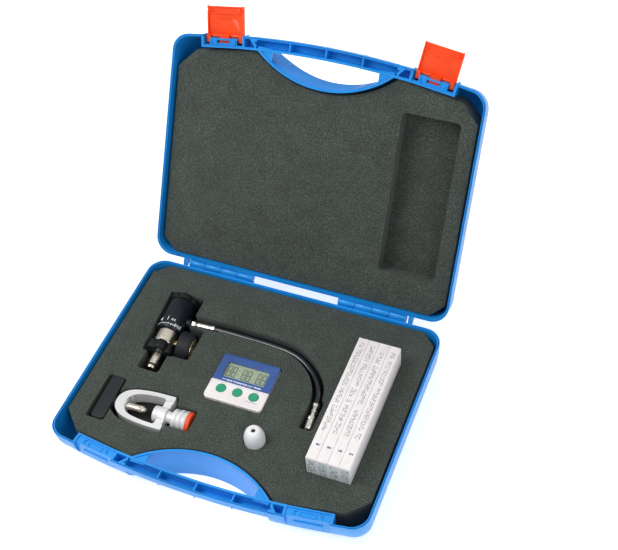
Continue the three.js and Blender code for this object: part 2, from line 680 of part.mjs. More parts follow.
function openerParts() {
  const upright = (geometry) => geometry.rotateY(-Math.PI / 2);
  const { bottom, top, radius } = OPENER;
  const dome = [];
  const low = -1;
  for (let i = 0; i <= 6; i++) {
    const a = (i / 6) * 1.32;
    dome.push([low + (top - low) * Math.sin(a) / Math.sin(1.32), 2.3 + (radius - 2.3) * Math.cos(a) ** 0.82]);
  }
  dome.push([top, 2.3]);
  const cup = upright(ring([
    [bottom + 3, radius], ...dome, [top - 2.4, 2.3], [top - 3.4, 5.6], [2, 8.4], [bottom + 3, 8.4],
  ], 20));
  const blade = upright(ring([[6, 2.8], [6, 6], [6.8, 6], [6.8, 2.8]], 16));
  const tray = upright(turned([[bottom, 9.6], [bottom + 0.6, radius - 0.2], [bottom + 2.6, radius - 0.2],
    [bottom + 2.6, 8], [bottom + 6, 8]]));
  return { cup, blade, tray };
}

// ---------- detector-tube cartons ----------
const CARTON = {
  x: 94.1, pitch: 11.25, width: 10.95, back: -49.5, length: 151, top: 21.5, height: 46, wall: 0.7,
};

function carton(index) {
  const x0 = CARTON.x + index * CARTON.pitch;
  const [x1, y0, y1, z1] = [x0 + CARTON.width, CARTON.back - CARTON.length, CARTON.back, CARTON.top];
  const [z0, t] = [z1 - CARTON.height, CARTON.wall];
  const middle = (z0 + z1) / 2;
  return cut(
    block(x0, x1, y0, y1, z0, z1),
    block(x0 + t, x1 - t, y0 + t, y1 - t, z0 + t, z1 - t),
    block(x0 + 3, x1 - 3, y1 - 2, y1 + 2, middle - 6, middle + 2),
  );
}

// Five glass tubes held by a paper strip.
function tubeStrip(index) {
  const x = CARTON.x + index * CARTON.pitch + CARTON.width / 2;
  const z0 = CARTON.top - CARTON.height + CARTON.wall + 4.6;
  const tubes = [0, 1, 2, 3, 4].map((i) =>
    rod(3.5, -68, 68, 8).rotateZ(Math.PI / 2).translate(x, CARTON.back - CARTON.length / 2, z0 + i * 8.7));
  const strip = block(x - 0.5, x + 0.5, CARTON.back - 90, CARTON.back - 60, z0 - 3, z0 + 4 * 8.7 + 3);
  return join(...tubes, strip);
}

// ---------- foam pockets ----------
function baseFoam() {
  const top = BASE_FOAM_TOP;
  const down = (shape, floor, segments = 3) => prism(shape, floor, top + 3, segments);
  const pockets = [
    down(polygon([
      [-131.4, -40], [-129.4, -36.6], [-93.6, -36.6], [-91.4, -39], [-91.2, -62], [-91.2, -117],
      [-93, -119.4], [-124.6, -119.4], [-127.1, -117],
    ]), REG_Z - KNOB_RADIUS - 1.2),
    down(roundedRect(-121, -96.5, -142.6, -112, 3), REG_Z - 15.4),
    down(roundedRect(-100, -73, -118, -76, 4), REG_Z - GAUGE_RADIUS - 5.8),
    down(roundedRect(-97, -58, -73.2, -59.8, 2), REG_Z - 6.4),
    down(channelOutline(6.1), HOSE_Z - HOSE_RADIUS - 0.5),
    down(roundedRect(66.9, 81.6, -157.5, -119, 3), HOSE_Z - 6.2),
    down(roundedRect(-143.8, -123, -213.9, -159.3, 3), YOKE.z - 27.6),
    down(polygon([[-126, -194], [-116, -203.5], [-100, -208.4], [-60, -210], [-60, -162.4], [-76, -162.2],
      [-101, -165], [-117, -171], [-126, -180]]), YOKE.z - 9.4),
    down(roundedRect(-63, -35.4, -198.5, -171.5, 3), YOKE.z - 12.4),
    down(
      roundedRect(TIMER.x - 33, TIMER.x + 33, TIMER.y - 29.8, TIMER.y + 29.8, 4.6),
      TIMER.top - TIMER.thick - 0.4,
    ),
    rodZ(OPENER.radius + 0.9, OPENER.bottom - 0.4, top + 3, 24).translate(OPENER.x, OPENER.y, 0),
    block(
      CARTON.x - 0.8, CARTON.x + 4 * CARTON.pitch + 0.5,
      CARTON.back - CARTON.length - 0.8, CARTON.back + 0.8,
      CARTON.top - CARTON.height - 0.4, top + 3,
    ),
  ];
  return cut(foamBlock(top), ...pockets);
}

const RELIEF_RADIUS = 12.6;
const RELIEF_TOP = OPENER.top + 1.6;

function lidFoam() {
  const recess = prism(roundedRect(86.5, 148, -210.5, -39.5, 5), LID_FOAM_FACE - 2, CARTON.top + 4);
  const relief = rodZ(RELIEF_RADIUS, LID_FOAM_FACE - 2, RELIEF_TOP).translate(OPENER.x, OPENER.y, 0);
  return cut(mirrorZ(foamBlock(-LID_FOAM_FACE)), recess, relief);
}

const lidFoamPlug = () =>
  rodZ(RELIEF_RADIUS - GAP, LID_FOAM_FACE, RELIEF_TOP - GAP).translate(OPENER.x, OPENER.y, 0);

// ---------- materials ----------
const material = (color, roughness, metalness = 0, more = {}) =>
  new THREE.MeshStandardMaterial({ color, roughness, metalness, ...more });
const BLUE = material(0x1463dd, 0.42);
const ORANGE = material(0xf8481a, 0.4);
const FOAM = material(0x454a46, 0.95);
const BLACK = material(0x15181b, 0.35, 0.2);
const RUBBER = material(0x101214, 0.6);
const STEEL = material(0xc9c7bd, 0.25, 1);
const BRASS = material(0xb99a4e, 0.3, 1);
const WHITE = material(0xe9e8e6, 0.5);
const PALE = material(0xd4d6d6, 0.4, 0.3);
const DEEP_BLUE = material(0x2a5fa8, 0.35);
const LCD = material(0x9aa790, 0.3);
const GREEN = material(0x1f9a62, 0.45);
const CARD = material(0xf1efee, 0.8);
const GLASS = material(0xdfe9ea, 0.05, 0, { transparent: true, opacity: 0.35 });
const BOARD = material(0x2e6b3c, 0.6);

// ---------- assembly ----------
function piece(parent, name, geometry, finish) {
  const mesh = new THREE.Mesh(closed(geometry), finish);
  mesh.name = name;
  parent.add(mesh);
  return mesh;
}

function frameAt(parent, x, y, z, turn = 0) {
  const frame = new THREE.Group();
  frame.position.set(x, y, z);
  frame.rotation.z = turn;
  parent.add(frame);
  return frame;
}

const kit = new THREE.Group();
const caseFrame = frameAt(kit, 0, -ORIGIN_Y, HALF_HEIGHT);

piece(caseFrame, "case_base", caseBase(), BLUE);
piece(caseFrame, "base_foam", baseFoam(), FOAM);
piece(caseFrame, "hinge_pin_left", hingePin(-1), STEEL);
piece(caseFrame, "hinge_pin_right", hingePin(1), STEEL);

const lidAxis = frameAt(caseFrame, 0, HINGE_Y, HINGE_Z);
lidAxis.rotation.x = -LID_OPEN;
const lidFrame = frameAt(lidAxis, 0, -HINGE_Y, -HINGE_Z);
piece(lidFrame, "case_lid", caseLid(), BLUE);
piece(lidFrame, "lid_foam", lidFoam(), FOAM);
piece(lidFrame, "lid_foam_plug", lidFoamPlug(), FOAM);
for (const [name, side] of [["left", -1], ["right", 1]]) {
  const x = side * LATCH_X;
  const seat = frameAt(lidFrame, x, front(x), 0, Math.asin(x / BOW_RADIUS));
  const pivot = frameAt(seat, 0, LATCH_PIVOT_DEPTH, LATCH_PIVOT_Z);
  piece(pivot, `latch_${name}`, cut(latch(), rod(PIN_RADIUS + 0.05, -30, 30, 12)), ORANGE);
  piece(pivot, `latch_pin_${name}`, rod(PIN_RADIUS - 0.25, -POCKET_HALF - 1.3, POCKET_HALF + 1.3, 12), STEEL);
}

const regulator = frameAt(caseFrame, REG_X, REG_Y, REG_Z, REG_TURN);
const reg = regulatorParts();
piece(regulator, "regulator_knob", reg.knob, BLACK);
piece(regulator, "adjusting_screw", reg.screw, STEEL);
piece(regulator, "regulator_body", reg.body, BLACK);
piece(regulator, "range_spring", reg.spring, STEEL);
piece(regulator, "piston", reg.piston, BRASS);
piece(regulator, "chrome_body", reg.chrome, STEEL);
piece(regulator, "inlet_hand_wheel", reg.collar, BLACK);
piece(regulator, "inlet_nipple", reg.nipple, STEEL);
piece(regulator, "nipple_o_ring", reg.ringSeal, RUBBER);

const gaugeDip = frameAt(regulator, GAUGE_S, 0, 0);
gaugeDip.rotation.x = -GAUGE_DIP;
const gaugeFrame = frameAt(gaugeDip, 0, GAUGE_BACK, 0, Math.PI / 2);
const gauge = gaugeParts();
piece(gaugeFrame, "gauge_stem", gauge.stem, BRASS);
piece(gaugeFrame, "gauge_boot", gauge.boot, RUBBER);
piece(gaugeFrame, "gauge_case", gauge.shell, BRASS);
piece(gaugeFrame, "gauge_dial", gauge.dial, WHITE);
piece(gaugeFrame, "gauge_needle", gauge.needle, BLACK);
piece(gaugeFrame, "gauge_lens", gauge.lens, GLASS);

// Along the port's axis, at distances from the regulator's own axis.
const union = frameAt(regulator, PORT_S, 0, 0, Math.PI / 2);
const [NUT_START, CRIMP_START, CRIMP_END] = [PORT_END + 0.6, 26.3, 46.6];
const nut = join(rod(3.6, NUT_START, CRIMP_START - GAP, 16), hexagon(9.6, NUT_START + 0.5, NUT_START + 4.5));
piece(union, "hose_union", nut, STEEL);
const crimp = join(rod(4.4, CRIMP_START, CRIMP_END - 2, 20), rod(5.2, CRIMP_END - 2.7, CRIMP_END, 20));
piece(union, "hose_ferrule", crimp, STEEL);
piece(caseFrame, "hose", hose(), BLACK);

const last = HOSE_ROUTE[HOSE_ROUTE.length - 1];
const couplerFrame = frameAt(caseFrame, last[0], last[1], HOSE_Z, COUPLER_TURN);
const coupler = couplerParts();
piece(couplerFrame, "end_ferrule", coupler.ferrule, STEEL);
piece(couplerFrame, "coupler_body", coupler.body, STEEL);
piece(couplerFrame, "coupler_sleeve", coupler.sleeve, STEEL);

const yokeFrame = frameAt(caseFrame, YOKE.x, YOKE.y, YOKE.z, YOKE.turn);
const yoke = yokeParts();
piece(yokeFrame, "yoke_frame", yoke.frame, PALE);
piece(yokeFrame, "yoke_screw", yoke.screw, STEEL);
piece(yokeFrame, "yoke_handle", yoke.handle, BLACK);
piece(yokeFrame, "outlet_body", yoke.outlet, PALE);
piece(yokeFrame, "outlet_seal", yoke.seal, RUBBER);
piece(yokeFrame, "dust_cap", yoke.cap, ORANGE);

const timerFrame = frameAt(caseFrame, TIMER.x, TIMER.y, 0);
const timer = timerParts();
piece(timerFrame, "timer_back", timer.shell, WHITE);
piece(timerFrame, "timer_face", timer.face, WHITE);
piece(timerFrame, "timer_bezel", timer.bezel, DEEP_BLUE);
piece(timerFrame, "timer_display", timer.display, LCD);
piece(timerFrame, "timer_board", timer.board, BOARD);
piece(timerFrame, "timer_cell", timer.cell, STEEL);
timer.buttons.forEach((button, i) => piece(timerFrame, `timer_button_${i + 1}`, button, GREEN));

const openerFrame = frameAt(caseFrame, OPENER.x, OPENER.y, 0);
const opener = openerParts();
piece(openerFrame, "opener_cup", opener.cup, WHITE);
piece(openerFrame, "opener_blade", opener.blade, STEEL);
piece(openerFrame, "opener_tray", opener.tray, PALE);

for (let i = 0; i < 4; i++) {
  piece(caseFrame, `tube_carton_${i + 1}`, carton(i), CARD);
  piece(caseFrame, `detector_tubes_${i + 1}`, tubeStrip(i), GLASS);
}

export default kit;
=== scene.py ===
import json
import math
import random

import bmesh
import bpy
from mathutils import Matrix, Vector


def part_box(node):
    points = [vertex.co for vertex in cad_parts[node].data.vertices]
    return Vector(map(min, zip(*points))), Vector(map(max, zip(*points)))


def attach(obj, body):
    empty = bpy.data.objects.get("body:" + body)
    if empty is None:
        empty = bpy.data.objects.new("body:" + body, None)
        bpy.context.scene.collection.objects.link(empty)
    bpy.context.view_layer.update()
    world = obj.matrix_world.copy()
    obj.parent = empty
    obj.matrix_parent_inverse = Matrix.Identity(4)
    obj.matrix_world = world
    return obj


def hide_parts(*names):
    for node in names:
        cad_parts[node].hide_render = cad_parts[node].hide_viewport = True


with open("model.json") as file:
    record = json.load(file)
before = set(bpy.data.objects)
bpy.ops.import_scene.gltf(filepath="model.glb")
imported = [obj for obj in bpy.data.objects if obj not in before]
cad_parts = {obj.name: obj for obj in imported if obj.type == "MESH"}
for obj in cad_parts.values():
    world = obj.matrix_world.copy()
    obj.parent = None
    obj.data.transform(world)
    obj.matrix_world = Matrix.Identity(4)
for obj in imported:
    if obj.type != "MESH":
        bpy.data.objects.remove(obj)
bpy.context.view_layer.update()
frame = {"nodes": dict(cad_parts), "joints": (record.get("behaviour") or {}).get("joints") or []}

MM = 0.001
JOINTS = {joint["name"]: joint for joint in frame["joints"]}


# ---------- frames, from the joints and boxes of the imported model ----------
def axes_at(origin, x_axis, z_axis=(0, 0, 1)):
    """A frame in metres with the given x axis and a z axis as near as possible to z_axis."""
    x = Vector(x_axis).normalized()
    y = Vector(z_axis).cross(x).normalized()
    z = x.cross(y)
    turn = Matrix((x, y, z)).transposed().to_4x4()
    return Matrix.Translation(Vector(origin)) @ turn


def joint_frame(name, **more):
    joint = JOINTS[name]
    return axes_at(joint["pos_m"], joint["axis"], **more)


HINGE_Y = 4.05  # hinge axis behind and above the rear rim edge, in mm
HINGE_Z = 2.3
HINGE = Vector(JOINTS["lid_hinge"]["pos_m"])
CASE = Matrix.Translation(HINGE - Vector((0, HINGE_Y, HINGE_Z)) * MM)
LID_TURN = Matrix.Rotation(math.radians(JOINTS["lid_hinge"]["range_deg"][0]), 4, "X")
LID = Matrix.Translation(HINGE) @ LID_TURN @ Matrix.Translation(-HINGE) @ CASE
LID_UP = (LID_TURN @ Vector((0, 0, 1))).to_3d()
FLIP = Matrix.Diagonal((1, 1, -1, 1))
KNOB_PLACE = 14.5  # where the knob's joint sits on the regulator's axis
REGULATOR = joint_frame("knob_turn") @ Matrix.Translation((-KNOB_PLACE * MM, 0, 0))
GAUGE = joint_frame("gauge_pointer_turn") @ Matrix.Translation((-7.5 * MM, 0, 0))
YOKE = joint_frame("clamp_handle_turn")


def shifted(base, x=0.0, y=0.0, z=0.0):
    return base @ Matrix.Translation(Vector((x, y, z)) * MM)


def node_centre(node):
    low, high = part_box(node)
    return (low + high) / 2


# ---------- camera ----------
CAMERA_PLACE = Vector((364.2, -582.9, 985.4)) * MM
CAMERA_TARGET = Vector((5.53, 159.96, 41.5)) * MM
CAMERA_ROLL = math.radians(-5.63)


def make_camera():
    data = bpy.data.cameras.new("camera")
    data.lens = 66.2
    data.sensor_width = 36
    camera = bpy.data.objects.new("camera", data)
    bpy.context.scene.collection.objects.link(camera)
    look = (CAMERA_TARGET - CAMERA_PLACE).to_track_quat("-Z", "Y").to_matrix().to_4x4()
    camera.matrix_world = Matrix.Translation(CAMERA_PLACE) @ look @ Matrix.Rotation(CAMERA_ROLL, 4, "Z")
    bpy.context.scene.camera = camera


make_camera()


# ---------- procedural materials ----------
class Shader:
    """A Principled material whose colour, roughness and bump come from noise in object space."""

    def __init__(self, name, color, roughness, metallic=0.0, **sockets):
        self.material = bpy.data.materials.new(name)
        self.material.use_nodes = True
        self.tree = self.material.node_tree
        self.surface = self.tree.nodes["Principled BSDF"]
        self.color = (*color, 1)
        self.surface.inputs["Base Color"].default_value = self.color
        self.surface.inputs["Roughness"].default_value = roughness
        self.surface.inputs["Metallic"].default_value = metallic
        for socket, value in sockets.items():
            self.surface.inputs[socket.replace("_", " ")].default_value = value
        self.coordinates = self.node("ShaderNodeTexCoord").outputs["Object"]

    def node(self, kind, **settings):
        made = self.tree.nodes.new(kind)
        for key, value in settings.items():
            setattr(made, key, value)
        return made

    def link(self, output, socket):
        self.tree.links.new(output, socket)

    def noise(self, scale, detail=3.0, stretch=(1, 1, 1)):
        """Noise with about `scale` lumps in a metre, stretched along the row's axes."""
        mapping = self.node("ShaderNodeMapping")
        mapping.inputs["Scale"].default_value = stretch
        self.link(self.coordinates, mapping.inputs["Vector"])
        made = self.node("ShaderNodeTexNoise")
        made.inputs["Scale"].default_value = scale
        made.inputs["Detail"].default_value = detail
        self.link(mapping.outputs["Vector"], made.inputs["Vector"])
        return made.outputs["Fac"]

    def cells(self, scale):
        made = self.node("ShaderNodeTexVoronoi")
        made.inputs["Scale"].default_value = scale
        self.link(self.coordinates, made.inputs["Vector"])
        return made

    def ramp(self, value, *stops):
        made = self.node("ShaderNodeValToRGB")
        ramp = made.color_ramp
        while len(ramp.elements) < len(stops):
            ramp.elements.new(0.5)
        for element, (place, color) in zip(ramp.elements, stops):
            element.position = place
            element.color = (*color, 1) if len(color) == 3 else color
        self.link(value, made.inputs["Fac"])
        return made.outputs["Color"]

    def shades(self, value, low, high, start=0.35, end=0.65):
        """Colour from `low` to `high` times the base colour as value goes from start to end."""
        tones = [tuple(min(1, c * share) for c in self.color[:3]) for share in (low, high)]
        self.link(self.ramp(value, (start, tones[0]), (end, tones[1])), self.surface.inputs["Base Color"])
        return self

    def roughness(self, value, low, high):
        made = self.node("ShaderNodeMapRange")
        made.inputs["To Min"].default_value = low
        made.inputs["To Max"].default_value = high
        self.link(value, made.inputs["Value"])
        self.link(made.outputs["Result"], self.surface.inputs["Roughness"])
        return self

    def bump(self, value, depth_mm, strength=1.0):
        made = self.node("ShaderNodeBump")
        made.inputs["Distance"].default_value = depth_mm * MM
        made.inputs["Strength"].default_value = strength
        self.link(value, made.inputs["Height"])
        self.link(made.outputs["Normal"], self.surface.inputs["Normal"])
        return self


def plastic(name, color, roughness=0.35, grain=900, depth=0.02, spread=0.06, **sockets):
    """Moulded plastic: slight flow shades, fine spark-eroded grain, uneven gloss."""
    shader = Shader(name, color, roughness, **sockets)
    flow = shader.noise(22, 2)
    shader.shades(flow, 1 - spread, 1 + spread)
    shader.roughness(shader.noise(60, 4), roughness - 0.06, roughness + 0.1)
    shader.bump(shader.noise(grain, 2), depth, 0.35)
    return shader.material


def metal(name, color, roughness=0.25, stretch=(1, 1, 1), scale=300, spread=0.1):
    """Turned or brushed metal: streaks along one way in its shade and gloss."""
    shader = Shader(name, color, roughness, 1.0)
    streaks = shader.noise(scale, 4, stretch)
    shader.shades(streaks, 1 - spread, 1 + spread)
    shader.roughness(streaks, max(0.05, roughness - 0.1), roughness + 0.12)
    shader.bump(streaks, 0.02, 0.3)
    return shader.material


def foam_material(name, facing, top, depth, floor):
    """Closed-cell foam with half-millimetre cells and soft blotches, with painted shade that darkens its cut
    pockets down to `floor` times the colour at `depth` mm below `top`.
    """
    shader = Shader(name, (0.046, 0.052, 0.046), 0.95, **{"Sheen Weight": 0.1, "Sheen Roughness": 0.6})
    cells = shader.cells(1500)
    speckle = shader.noise(950, 4)
    mixed = shader.node("ShaderNodeMath", operation="MULTIPLY_ADD")
    shader.link(cells.outputs["Distance"], mixed.inputs[0])
    mixed.inputs[1].default_value = 0.35
    shader.link(speckle, mixed.inputs[2])
    blotch = shader.node("ShaderNodeMath", operation="MULTIPLY_ADD")
    shader.link(shader.noise(45, 3), blotch.inputs[0])
    blotch.inputs[1].default_value = 0.16
    shader.link(mixed.outputs["Value"], blotch.inputs[2])
    color = shader.ramp(
        blotch.outputs["Value"],
        (0.50, (0.012, 0.0165, 0.0135)),
        (0.68, (0.025, 0.0325, 0.0265)),
        (0.82, (0.041, 0.052, 0.042)),
        (0.97, (0.105, 0.130, 0.105)),
    )
    # Painted shade: the colour is scaled by depth below the foam's top along `facing`, from 1 near the top
    # down to `floor` deep in the pockets.
    height = shader.node("ShaderNodeVectorMath", operation="DOT_PRODUCT")
    shader.link(shader.coordinates, height.inputs[0])
    height.inputs[1].default_value = facing
    shade = shader.node("ShaderNodeMapRange", interpolation_type="SMOOTHSTEP")
    shade.inputs["From Min"].default_value = top - depth * MM
    shade.inputs["From Max"].default_value = top - 0.5 * MM
    shade.inputs["To Min"].default_value = floor
    shader.link(height.outputs["Value"], shade.inputs["Value"])
    painted_shade_color = shader.node("ShaderNodeVectorMath", operation="SCALE")
    shader.link(color, painted_shade_color.inputs[0])
    shader.link(shade.outputs["Result"], painted_shade_color.inputs["Scale"])
    shader.link(painted_shade_color.outputs["Vector"], shader.surface.inputs["Base Color"])
    shader.bump(mixed.outputs["Value"], 0.3, 0.5)
    return shader.material


def case_blue():
    """Royal-blue polypropylene: satin, faint flow marks and scuffs."""
    shader = Shader("case_blue", (0.0085, 0.27, 0.76), 0.34, **{"Specular IOR Level": 0.5})
    shader.shades(shader.noise(14, 3), 0.90, 1.08)
    shader.roughness(shader.noise(120, 5), 0.26, 0.46)
    shader.bump(shader.noise(2600, 2), 0.03, 0.25)
    return shader.material


def card_material():
    """Uncoated white card with a faint pink tone and paper fibre."""
    shader = Shader("card", (0.83, 0.79, 0.79), 0.72)
    shader.shades(shader.noise(420, 5, (1, 0.3, 1)), 0.95, 1.05)
    shader.bump(shader.noise(1500, 4, (1, 0.4, 1)), 0.04, 0.4)
    return shader.material


def glass_material(name, color, roughness=0.03):
    shader = Shader(name, color, roughness, **{"IOR": 1.45, "Alpha": 0.35})
    shader.roughness(shader.noise(90, 3), roughness, roughness + 0.05)
    return shader.material


BASE_FOAM_TOP = -3.5  # below the parting plane
LID_FOAM_FACE = 6
BLUE = case_blue()
FOAM_LEVEL = (CASE @ Vector((0, 0, BASE_FOAM_TOP * MM))).z
LID_FOAM_LEVEL = -LID_UP.dot(LID @ Vector((0, 0, LID_FOAM_FACE * MM)))
# Painted pocket shade: the base's pockets darken to 0.12 of the foam colour, the lid's recess only to 0.85.
FOAM = foam_material("foam_base", (0, 0, 1), FOAM_LEVEL, 9, 0.12)
LID_FOAM = foam_material("foam_lid", -LID_UP, LID_FOAM_LEVEL, 12, 0.85)
ORANGE = plastic("latch_orange", (0.95, 0.066, 0.003), 0.38, 1400, 0.02, 0.08)
STEEL = metal("steel", (0.72, 0.71, 0.68), 0.24)
CHROME = metal("chrome", (0.84, 0.82, 0.76), 0.14, (1, 6, 1), 200, 0.05)
WARM = metal("warm_silver", (0.80, 0.75, 0.63), 0.20, (1, 5, 1), 300, 0.12)
BRASS = metal("brass", (0.74, 0.60, 0.30), 0.24)
BLACK_COATED = plastic("black_coated", (0.006, 0.008, 0.013), 0.3, 500, 0.01, 0.3,
                       **{"Specular IOR Level": 0.4})
BLACK = plastic("black_plastic", (0.007, 0.009, 0.009), 0.42, 1100, 0.03, 0.3, **{"Specular IOR Level": 0.3})
RUBBER = plastic("black_rubber", (0.010, 0.012, 0.014), 0.55, 1600, 0.04, 0.25, **{"Specular IOR Level": 0.3})
HOSE = plastic("hose_rubber", (0.003, 0.004, 0.009), 0.16, 700, 0.02, 0.3, **{"Specular IOR Level": 0.6})
PALE = plastic("pale_alloy", (0.74, 0.745, 0.75), 0.34, 700, 0.04, 0.07, Metallic=0.25)
HANDLE = plastic("handle_dark", (0.014, 0.018, 0.021), 0.5, 900, 0.04, 0.2, **{"Specular IOR Level": 0.3})
CAP = plastic("cap_orange", (0.90, 0.085, 0.018), 0.36, 1000, 0.03, 0.08)
WHITE = plastic("timer_white", (0.84, 0.80, 0.80), 0.42, 1400, 0.02, 0.03)
BEZEL = plastic("timer_blue", (0.022, 0.085, 0.30), 0.2, 900, 0.01, 0.12, **{"Coat Weight": 0.5})
LCD = plastic("lcd_grey", (0.33, 0.40, 0.30), 0.12, 300, 0.005, 0.05)
INK = plastic("lcd_ink", (0.10, 0.15, 0.085), 0.3, 900, 0.005, 0.1)
BOARD = plastic("board_green", (0.03, 0.22, 0.08), 0.4, 600, 0.03, 0.2)
GREEN = plastic("button_green", (0.012, 0.33, 0.175), 0.42, 900, 0.03, 0.08)
OPENER = plastic("opener_white", (0.80, 0.80, 0.81), 0.4, 1000, 0.03, 0.04)
CARD = card_material()
GREY_PRINT = plastic("grey_print", (0.30, 0.30, 0.31), 0.7, 900, 0.01, 0.2)
DARK_PRINT = plastic("dark_print", (0.03, 0.045, 0.05), 0.7, 900, 0.01, 0.3)
BLUE_PRINT = plastic("blue_print", (0.05, 0.04, 0.22), 0.7, 900, 0.01, 0.3)
PALE_LABEL = plastic("pale_label", (0.60, 0.66, 0.67), 0.6, 1200, 0.02, 0.05)
WHITE_PRINT = plastic("white_print", (0.80, 0.84, 0.88), 0.5, 900, 0.01, 0.05)
LENS = glass_material("clear_lens", (0.86, 0.91, 0.92))
TUBES = glass_material("tube_glass", (0.80, 0.86, 0.80))


# ---------- shapes: vertices in mm and faces, in a piece's own frame ----------
def box(x0, x1, y0, y1, z0, z1):
    corners = [(x, y, z) for x in (x0, x1) for y in (y0, y1) for z in (z0, z1)]
    faces = [(0, 1, 3, 2), (4, 6, 7, 5), (0, 4, 5, 1), (2, 3, 7, 6), (0, 2, 6, 4), (1, 5, 7, 3)]
    return corners, faces


def lathe(profile, sides=48, loop=False, swell=None):
    """A turned shape about +X from (x, radius) pairs; swell(x, angle) scales the radius."""
    verts, rings = [], []
    for x, radius in profile:
        if radius < 1e-6:
            rings.append([len(verts)])
            verts.append((x, 0, 0))
            continue
        rings.append(list(range(len(verts), len(verts) + sides)))
        for i in range(sides):
            angle = 2 * math.pi * i / sides
            r = radius * (swell(x, angle) if swell else 1)
            verts.append((x, r * math.cos(angle), r * math.sin(angle)))
    faces = []
    for a, b in zip(rings, rings[1:] + ([rings[0]] if loop else [])):
        for i in range(sides):
            j = (i + 1) % sides
            if len(a) == 1 and len(b) > 1:
                faces.append((a[0], b[j], b[i]))
            elif len(b) == 1 and len(a) > 1:
                faces.append((a[i], a[j], b[0]))
            elif len(a) > 1:
                faces.append((a[i], a[j], b[j], b[i]))
        if b is rings[0]:
            break
    return verts, faces


def turned(profile, sides=48, swell=None):
    return lathe([(profile[0][0], 0), *profile, (profile[-1][0], 0)], sides, swell=swell)


def prism(outline, z0, z1):
    """An outline of (x, y) pairs, extruded from z0 to z1."""
    count = len(outline)
    verts = [(x, y, z0) for x, y in outline] + [(x, y, z1) for x, y in outline]
    faces = [tuple(reversed(range(count))), tuple(range(count, 2 * count))]
    for i in range(count):
        j = (i + 1) % count
        faces.append((i, j, j + count, i + count))
    return verts, faces


def moved(shape, matrix):
    verts, faces = shape
    return [tuple(matrix @ Vector(v)) for v in verts], faces


def turned_about(shape, axis, degrees, offset=(0, 0, 0)):
    return moved(shape, Matrix.Translation(offset) @ Matrix.Rotation(math.radians(degrees), 4, axis))


def arc(cx, cy, radius, start, end, steps):
    """Points on a circle, angles in degrees."""
    angles = [math.radians(start + (end - start) * i / steps) for i in range(steps + 1)]
    return [(cx + radius * math.cos(a), cy + radius * math.sin(a)) for a in angles]


def rounded(x0, x1, y0, y1, r, steps=8):
    return [
        *arc(x1 - r, y0 + r, r, -90, 0, steps),
        *arc(x1 - r, y1 - r, r, 0, 90, steps),
        *arc(x0 + r, y1 - r, r, 90, 180, steps),
        *arc(x0 + r, y0 + r, r, 180, 270, steps),
    ]


def upright(radius, z0, z1, sides=48):
    return prism(arc(0, 0, radius, 0, 360 * (1 - 1 / sides), sides - 1), z0, z1)


def loft(rings):
    """A closed solid through rings of equal point counts."""
    count = len(rings[0])
    verts = [p for ring in rings for p in ring]
    faces = [tuple(range(count)), tuple(reversed(range(len(verts) - count, len(verts))))]
    for k in range(len(rings) - 1):
        for i in range(count):
            j = (i + 1) % count
            faces.append((k * count + j, k * count + i, (k + 1) * count + i, (k + 1) * count + j))
    return verts, faces


# ---------- pieces ----------
def build(name, shapes, base, finish, sharp=38):
    """One mesh object from shapes placed in a frame, its faces turned outwards."""
    shapes = [shapes] if isinstance(shapes, tuple) else shapes
    mesh = bpy.data.meshes.new(name)
    verts, faces = [], []
    for shape_verts, shape_faces in shapes:
        start = len(verts)
        verts += [base @ (Vector(v) * MM) for v in shape_verts]
        faces += [tuple(start + i for i in face) for face in shape_faces]
    mesh.from_pydata(verts, [], faces)
    edit = bmesh.new()
    edit.from_mesh(mesh)
    bmesh.ops.recalc_face_normals(edit, faces=edit.faces)
    edit.to_mesh(mesh)
    edit.free()
    piece = bpy.data.objects.new(name, mesh)
    bpy.context.scene.collection.objects.link(piece)
    mesh.materials.append(finish)
    smooth(piece, sharp)
    return piece


def smooth(piece, sharp):
    piece.data.shade_smooth()
    piece.data.set_sharp_from_angle(angle=math.radians(sharp))


def bake(piece, sharp=38):
    """Applies the piece's modifiers to its mesh."""
    bpy.context.view_layer.update()
    depsgraph = bpy.context.evaluated_depsgraph_get()
    mesh = bpy.data.meshes.new_from_object(piece.evaluated_get(depsgraph))
    piece.modifiers.clear()
    old = piece.data
    piece.data = mesh
    mesh.name = piece.name
    bpy.data.meshes.remove(old)
    smooth(piece, sharp)
    return piece


def combine(piece, steps, base, sharp=38):
    """Joins, cuts or crosses the piece with shapes in turn: steps are (operation, shape) pairs."""
    tools = []
    for number, (operation, shape) in enumerate(steps):
        tool = shape if isinstance(shape, bpy.types.Object) else build(f"tool_{number}", shape, base, FOAM)
        tools.append(tool)
        modifier = piece.modifiers.new(f"step_{number}", "BOOLEAN")
        modifier.operation = operation
        modifier.solver = "MANIFOLD"
        modifier.object = tool
    bake(piece, sharp)
    for tool in tools:
        mesh = tool.data
        bpy.data.objects.remove(tool)
        bpy.data.meshes.remove(mesh)
    mesh = piece.data
    while len(mesh.materials) > 1:
        mesh.materials.pop()
    for polygon in mesh.polygons:
        polygon.material_index = 0
    return piece


def bevel(piece, width, segments=2, angle=40, sharp=38):
    modifier = piece.modifiers.new("bevel", "BEVEL")
    modifier.width = width * MM
    modifier.segments = segments
    modifier.limit_method = "ANGLE"
    modifier.angle_limit = math.radians(angle)
    modifier.use_clamp_overlap = True
    return bake(piece, sharp)


def place(piece, body, slot, *nodes):
    """The piece rides on a body and stands for CAD nodes, which it hides; slot is not used."""
    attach(piece, body)
    if nodes:
        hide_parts(*nodes)
    return piece


def finish_nodes(material, *nodes):
    """A better material on CAD nodes whose shape is kept."""
    for node in nodes:
        mesh = frame["nodes"][node].data
        mesh.materials.clear()
        mesh.materials.append(material)


# ---------- hose: first, with its couplings ----------
HOSE_RADIUS = 4.7
